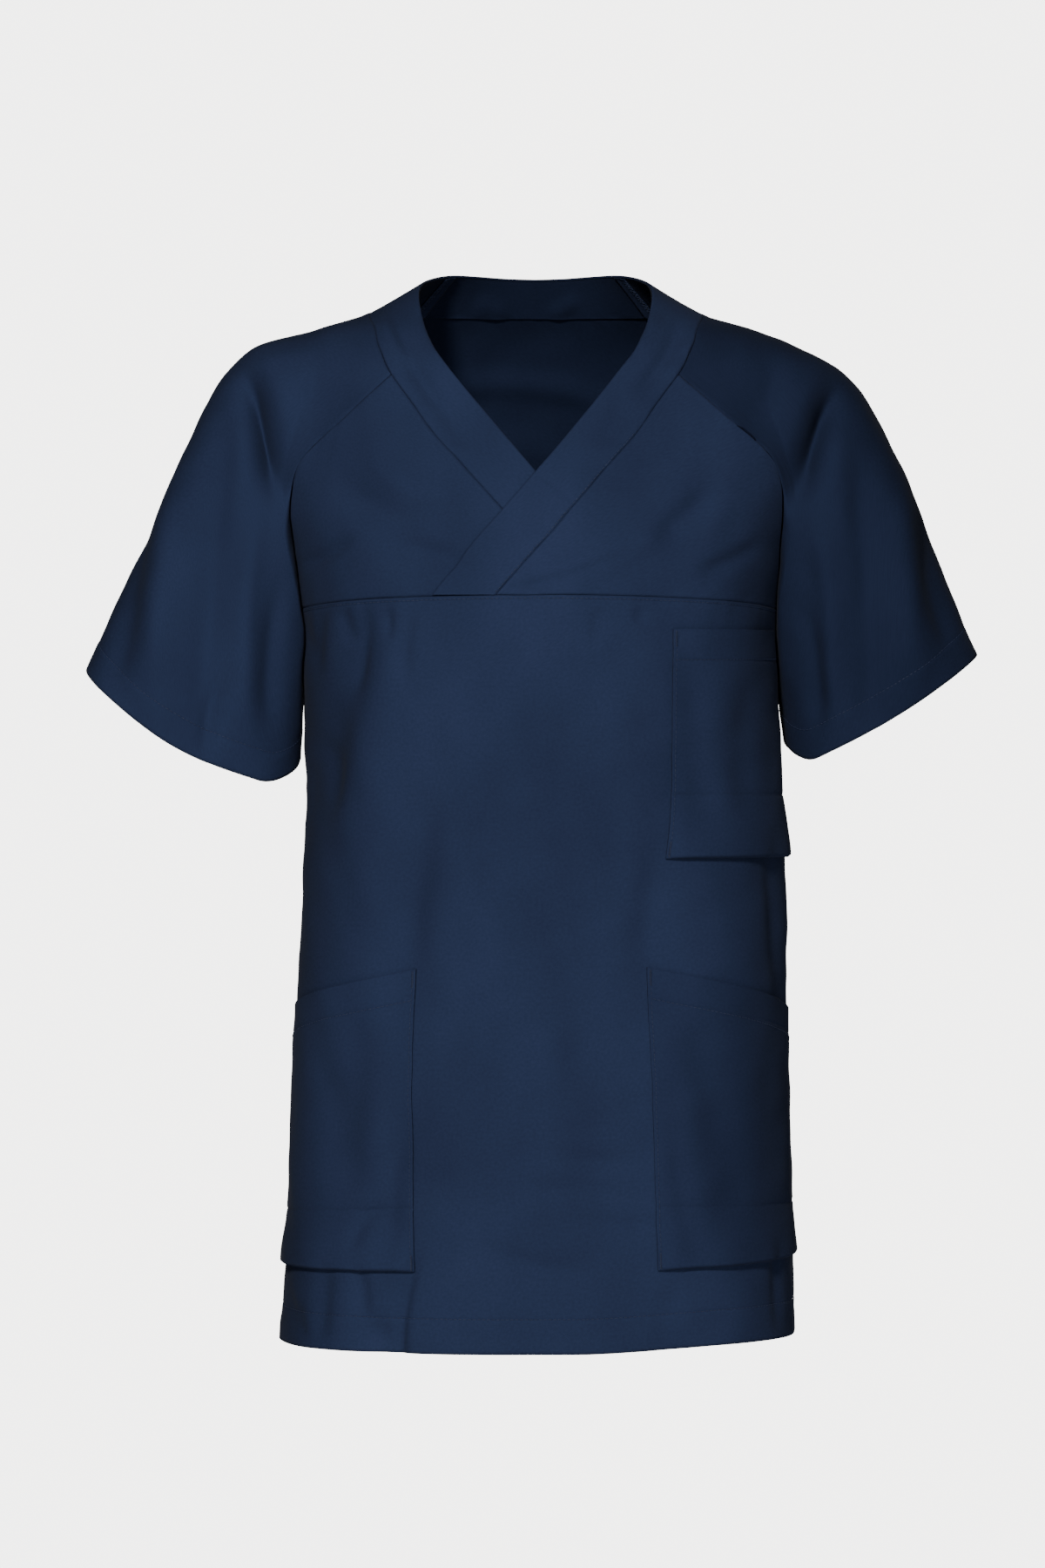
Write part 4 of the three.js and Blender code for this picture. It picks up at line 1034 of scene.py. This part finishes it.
def threads(name, runs):
    """Stitches as one mesh. Each is a short thread, high at its middle and sunk in at its ends."""
    starts, ends, ups = (np.concatenate(parts) for parts in zip(*runs))
    side = np.cross(unit(ends - starts), ups)
    turn = np.arange(6) * math.tau / 6
    circle = side[:, None] * np.cos(turn)[:, None] + ups[:, None] * np.sin(turn)[:, None]
    rings = []
    for share, rise, size in STITCH_RINGS:
        centre = lerp(starts, ends, share) + ups * rise
        rings.append(centre[:, None] + circle * THREAD * size)
    points = np.stack(rings, axis=1)
    index = np.arange(points.size // 3).reshape(points.shape[:3])
    a, b = index[:, :-1], index[:, 1:]
    walls = np.stack([a, np.roll(a, -1, 2), np.roll(b, -1, 2), b], -1).reshape(-1, 4)
    first, last = index[:, 0], index[:, -1]
    caps = [first[:, [3, 2, 1, 0]], first[:, [5, 4, 3, 0]], last[:, [0, 1, 2, 3]], last[:, [0, 3, 4, 5]]]
    made = new_object(name, points.reshape(-1, 3), np.concatenate([walls, *caps]))
    made.data.materials.append(thread_look)
    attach(made, "root")


def sew():
    """The topstitching, hem stitches and bar tacks."""
    face = {name.removesuffix("_cloth"): face for name, face in outer_faces.items()}
    threads("stitches_front", [
        stitches(line_on(face["front"], "top", STITCHES_FROM_SEAM)),
        stitches(line_on(face["front"], "bottom", HEM_DEPTH)),
    ])
    threads("stitches_back", [stitches(line_on(face["back"], "bottom", HEM_DEPTH))])
    for side in SIDES:
        cuff = line_on(face[f"sleeve_{side}"], "top", CUFF_HEM_DEPTH)
        threads(f"stitches_sleeve_{side}", [stitches(cuff, 0.3, 0.3)])
    band = line_on(face["band_left"], "bottom", 1.8)
    threads("stitches_band_left", [stitches(band, 1.5, line_length(band) - 150)])
    for name, spec in POCKETS.items():
        inner = "left" if spec["side"] == "left" else "right"
        edge = line_on(face[name], inner, STITCHES_FROM_POCKET_EDGE)
        threads(f"stitches_{name}", [
            stitches(edge, BAR_TACK + 2, BAR_TACK + 2),
            bar_tack(edge, 1.5),
            bar_tack(edge, line_length(edge) - BAR_TACK - 1),
            stitches(line_on(face[name], "top", POCKET_TURN), 3, 3),
        ])


def neck_allowance(side):
    """The overlocked seam allowance on the inner face of the band, at its joint by the shoulder."""
    points, normals = outer_faces[f"band_{side}_cloth"]
    inner = points - normals * BAND_WALL
    edge = "right" if side == "left" else "left"
    lines = [line_on((inner, normals), edge, distance) for distance in np.linspace(0.8, ALLOWANCE, 9)]
    points, normals = (np.stack(arrays)[:, 1:-1] for arrays in zip(*lines))
    free = np.linspace(0, 1, len(points))[:, None]
    top = points - normals * (0.85 + 0.5 * free**2)[..., None]
    if (grid_normals(top) * normals).sum() > 0:
        top, normals = top[::-1], normals[::-1]
        free = free[::-1]
    flat = np.stack([travel(top, 1), travel(top, 0)], -1)
    made = shell(f"allowance_{side}_cloth", top, -normals, 0.6, flat)
    dress(made, None, "cloth", (0.042, 0.012), 0.0005)
    width, outer = (top[-1], top[-4]) if free[-1] > free[0] else (top[0], top[3])
    across = len(width)
    up = -(normals[-1] if free[-1] > free[0] else normals[0])
    at = np.linspace(0, across - 1, 19)
    low, high = (interpolated(at, range(across), line) for line in (width, outer))
    ups = unit(interpolated(at, range(across), up))
    threads(f"overlock_{side}", [(low[:-1], high[1:], ups[1:]), (high[:-1], high[1:], ups[1:])])


# Materials
THREAD_SHADE = 0.95


def set_inputs(node, values):
    for name, value in values.items():
        node.inputs[name].default_value = value


def thread_material():
    """Sewing thread, a shade darker than the cloth, with its twist."""
    material = bpy.data.materials.new("navy_thread")
    material.use_nodes = True
    nodes, links = material.node_tree.nodes, material.node_tree.links
    shader = nodes["Principled BSDF"]
    shader.inputs["Base Color"].default_value = (*(channel * THREAD_SHADE for channel in NAVY), 1)
    shader.inputs["Roughness"].default_value = 0.55
    shader.inputs["Specular IOR Level"].default_value = 0.25
    place = nodes.new("ShaderNodeTexCoord")
    twist = nodes.new("ShaderNodeTexWave")
    twist.bands_direction = "DIAGONAL"
    twist.inputs["Scale"].default_value = 900
    links.new(place.outputs["Object"], twist.inputs["Vector"])
    bump = nodes.new("ShaderNodeBump")
    set_inputs(bump, {"Strength": 0.3, "Distance": 0.05 * MM})
    links.new(twist.outputs["Fac"], bump.inputs["Height"])
    links.new(bump.outputs["Normal"], shader.inputs["Normal"])
    return material


def fabric(name, colour):
    """Fine plain-woven poly-cotton, its colour darkened by painted shade where it turns away from the view.
    """
    material = bpy.data.materials.new(name)
    material.use_nodes = True
    nodes, links = material.node_tree.nodes, material.node_tree.links
    shader = nodes["Principled BSDF"]
    shader.inputs["Roughness"].default_value = 0.72
    shader.inputs["Sheen Weight"].default_value = 0.02
    shader.inputs["Sheen Roughness"].default_value = 0.5
    shader.inputs["Specular IOR Level"].default_value = 0.0

    place = nodes.new("ShaderNodeTexCoord")
    slub = nodes.new("ShaderNodeTexNoise")
    set_inputs(slub, {"Scale": 480, "Detail": 3})
    links.new(place.outputs["UV"], slub.inputs["Vector"])
    shade = nodes.new("ShaderNodeMix")
    shade.data_type = "RGBA"
    dark = [channel * 0.82 for channel in colour]
    light = [channel * 1.18 for channel in colour]
    set_inputs(shade, {"A": (*dark, 1), "B": (*light, 1)})
    links.new(slub.outputs["Fac"], shade.inputs["Factor"])

    # soft uneven tone, and painted shade: the colour darkens where the cloth turns away from the view,
    # towards its outlines
    stretched = nodes.new("ShaderNodeMapping")
    stretched.inputs["Scale"].default_value = (13, 13, 7)
    links.new(place.outputs["Object"], stretched.inputs["Vector"])
    patches = nodes.new("ShaderNodeTexNoise")
    set_inputs(patches, {"Scale": 1, "Detail": 2.5})
    links.new(stretched.outputs["Vector"], patches.inputs["Vector"])
    tone = nodes.new("ShaderNodeMapRange")
    set_inputs(tone, {"From Min": 0.3, "From Max": 0.7, "To Min": 0.86, "To Max": 1.12})
    links.new(patches.outputs["Fac"], tone.inputs["Value"])
    turned = nodes.new("ShaderNodeLayerWeight")
    turned.inputs["Blend"].default_value = 0.5
    # painted shade: 1.06 where the cloth faces the view, falling to 0.6 at its outlines
    painted_edge_shade = nodes.new("ShaderNodeMapRange")
    set_inputs(painted_edge_shade, {"To Min": 1.06, "To Max": 0.6})
    links.new(turned.outputs["Facing"], painted_edge_shade.inputs["Value"])
    both = nodes.new("ShaderNodeMath")
    both.operation = "MULTIPLY"
    links.new(tone.outputs["Result"], both.inputs[0])
    links.new(painted_edge_shade.outputs["Result"], both.inputs[1])
    toned = nodes.new("ShaderNodeVectorMath")
    toned.operation = "SCALE"
    links.new(shade.outputs["Result"], toned.inputs[0])
    links.new(both.outputs["Value"], toned.inputs["Scale"])
    links.new(toned.outputs["Vector"], shader.inputs["Base Color"])

    height = None
    for axis in ("X", "Y"):
        threads = nodes.new("ShaderNodeTexWave")
        threads.bands_direction = axis
        set_inputs(threads, {"Scale": 1 / (0.42 * MM) / 20 * math.pi, "Distortion": 0.6})
        links.new(place.outputs["UV"], threads.inputs["Vector"])
        if height is None:
            height = threads.outputs["Fac"]
            continue
        both = nodes.new("ShaderNodeMath")
        both.operation = "ADD"
        links.new(height, both.inputs[0])
        links.new(threads.outputs["Fac"], both.inputs[1])
        height = both.outputs["Value"]
    bump = nodes.new("ShaderNodeBump")
    set_inputs(bump, {"Strength": 0.25, "Distance": 0.1 * MM})
    links.new(height, bump.inputs["Height"])
    links.new(bump.outputs["Normal"], shader.inputs["Normal"])
    return material


NAVY = (0.0199, 0.0291, 0.066)
# Painted shade: pieces on the darker side of the light get darker colours, the left sleeve most, then the
# left pocket and the right sleeve
PAINTED_PIECE_SHADES = {"sleeve_left": 0.66, "sleeve_right": 0.95, "pocket_left": 0.89}
# Painted shade: a darker copy of each piece's colour for its inner faces and cut rims, drawing shade inside
# the neck and dark lines at the seams
PAINTED_INSIDE_SHADE = 0.58


def dress(piece, node, slot, flat, area=None):
    shade = PAINTED_PIECE_SHADES.get(node, 1)
    # an outside material, and a painted-shade copy of it for the inner faces and rims
    for face, share in (("outside", shade), ("inside_painted_shade", shade * PAINTED_INSIDE_SHADE)):
        colour = [channel * share for channel in NAVY]
        piece.data.materials.append(fabric(f"{piece.name}_{face}", colour))
    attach(piece, "root")
    if node:
        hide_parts(node)


# The flat width, length and area of what shows of each piece's cut, without seam allowances, in metres
CUTS = {
    "front": ((0.513, 0.521), 0.252),
    "back": ((0.505, 0.775), 0.309),
    "yoke_right": ((0.205, 0.18), 0.0212),
    "yoke_left": ((0.205, 0.18), 0.0213),
    "sleeve_right": ((0.44, 0.39), 0.102),
    "sleeve_left": ((0.42, 0.38), 0.096),
    "band_right": ((0.39, 0.037), 0.0143),
    "band_left": ((0.39, 0.037), 0.0143),
    "band_back": ((0.16, 0.033), 0.0051),
    "pocket_chest": ((0.155, 0.156), 0.0231),
    "pocket_right": ((0.158, 0.206), 0.0311),
    "pocket_left": ((0.163, 0.206), 0.0323),
}

thread_look = thread_material()
pieces = {"front": front_panel(), "back": back_panel(), **bands()}
for side in SIDES:
    pieces[f"yoke_{side}"] = yoke(side)
    pieces[f"sleeve_{side}"] = sleeve(side)
for name, spec in POCKETS.items():
    pieces[name] = pocket(name, spec)
for node, piece in pieces.items():
    slot = node.split("_")[0] if node.startswith(("band", "pocket")) else "cloth"
    dress(piece, node, slot, *CUTS[node])
sew()
for side in SIDES:
    neck_allowance(side)


# The floor, the light and the camera, in metres
BACKDROP = (1, 0.99, 0.975)
BACKDROP_STRENGTH = 4.8
FILL_STRENGTH = 0.07
FLOOR_Z = -1.25
FLOOR_RADIUS = 2.6
FLOOR_GLOW = 0.8


def world_light():
    """Soft light from all round, seen by the camera as a seamless pale backdrop."""
    world = bpy.data.worlds.new("pale_studio")
    bpy.context.scene.world = world
    world.use_nodes = True
    nodes, links = world.node_tree.nodes, world.node_tree.links
    fill = nodes["Background"]
    set_inputs(fill, {"Color": (0.93, 0.96, 1, 1), "Strength": FILL_STRENGTH})
    seen = nodes.new("ShaderNodeBackground")
    set_inputs(seen, {"Color": (*BACKDROP, 1), "Strength": BACKDROP_STRENGTH})
    path = nodes.new("ShaderNodeLightPath")
    mix = nodes.new("ShaderNodeMixShader")
    links.new(path.outputs["Is Camera Ray"], mix.inputs["Fac"])
    links.new(fill.outputs["Background"], mix.inputs[1])
    links.new(seen.outputs["Background"], mix.inputs[2])
    links.new(mix.outputs["Shader"], nodes["World Output"].inputs["Surface"])


def area_light(name, place, aim, size, power):
    light = bpy.data.lights.new(name, "AREA")
    light.shape = "DISK"
    light.size, light.energy = size, power
    made = bpy.data.objects.new(name, light)
    made.location = place
    made.rotation_euler = (Vector(aim) - Vector(place)).to_track_quat("-Z", "Y").to_euler()
    made.visible_camera = False
    bpy.context.scene.collection.objects.link(made)


def floor():
    """A plain pale floor that fades into the backdrop at its rim."""
    place = (0, 0, FLOOR_Z)
    bpy.ops.mesh.primitive_circle_add(vertices=96, radius=FLOOR_RADIUS, fill_type="NGON", location=place)
    made = bpy.context.object
    made.name = "floor"
    material = bpy.data.materials.new("pale_floor")
    material.use_nodes = True
    nodes, links = material.node_tree.nodes, material.node_tree.links
    nodes.remove(nodes["Principled BSDF"])
    lit = nodes.new("ShaderNodeBsdfDiffuse")
    lit.inputs["Color"].default_value = (0.85, 0.85, 0.85, 1)
    pale = nodes.new("ShaderNodeEmission")
    set_inputs(pale, {"Color": (*BACKDROP, 1), "Strength": BACKDROP_STRENGTH})
    clear = nodes.new("ShaderNodeBsdfTransparent")
    path = nodes.new("ShaderNodeLightPath")
    share = nodes.new("ShaderNodeMath")
    share.operation = "MULTIPLY"
    share.inputs[1].default_value = FLOOR_GLOW
    links.new(path.outputs["Is Camera Ray"], share.inputs[0])
    glow = nodes.new("ShaderNodeMixShader")
    links.new(share.outputs["Value"], glow.inputs["Fac"])
    links.new(lit.outputs["BSDF"], glow.inputs[1])
    links.new(pale.outputs["Emission"], glow.inputs[2])
    place = nodes.new("ShaderNodeTexCoord")
    reach = nodes.new("ShaderNodeVectorMath")
    reach.operation = "LENGTH"
    links.new(place.outputs["Object"], reach.inputs[0])
    fade = nodes.new("ShaderNodeMapRange")
    fade.interpolation_type = "SMOOTHSTEP"
    set_inputs(fade, {"From Min": 0.3 * FLOOR_RADIUS, "From Max": 0.98 * FLOOR_RADIUS})
    links.new(reach.outputs["Value"], fade.inputs["Value"])
    rim = nodes.new("ShaderNodeMixShader")
    links.new(fade.outputs["Result"], rim.inputs["Fac"])
    links.new(glow.outputs["Shader"], rim.inputs[1])
    links.new(clear.outputs["BSDF"], rim.inputs[2])
    links.new(rim.outputs["Shader"], nodes["Material Output"].inputs["Surface"])
    made.data.materials.append(material)


def camera():
    view = bpy.data.cameras.new("camera")
    view.sensor_fit = "VERTICAL"
    view.sensor_height = 36
    view.lens = 131.15
    made = bpy.data.objects.new("camera", view)
    made.location = (-0.0085, -4, -0.3233)
    made.rotation_euler = (math.pi / 2, 0, 0)
    bpy.context.scene.collection.objects.link(made)
    bpy.context.scene.camera = made


world_light()
area_light("key", (-0.8, -3.25, 1.45), (-0.03, 0, -0.3), 0.55, 118)
area_light("front_fill", (1.1, -4.2, -0.4), (0.05, 0, -0.4), 1.2, 34)
area_light("top", (-0.2, -1.4, 2.4), (0, 0, 0), 1.2, 5)
area_light("back_light", (0.7, 4.0, 0.3), (0, 0, -0.35), 1.0, 190)
floor()
camera()
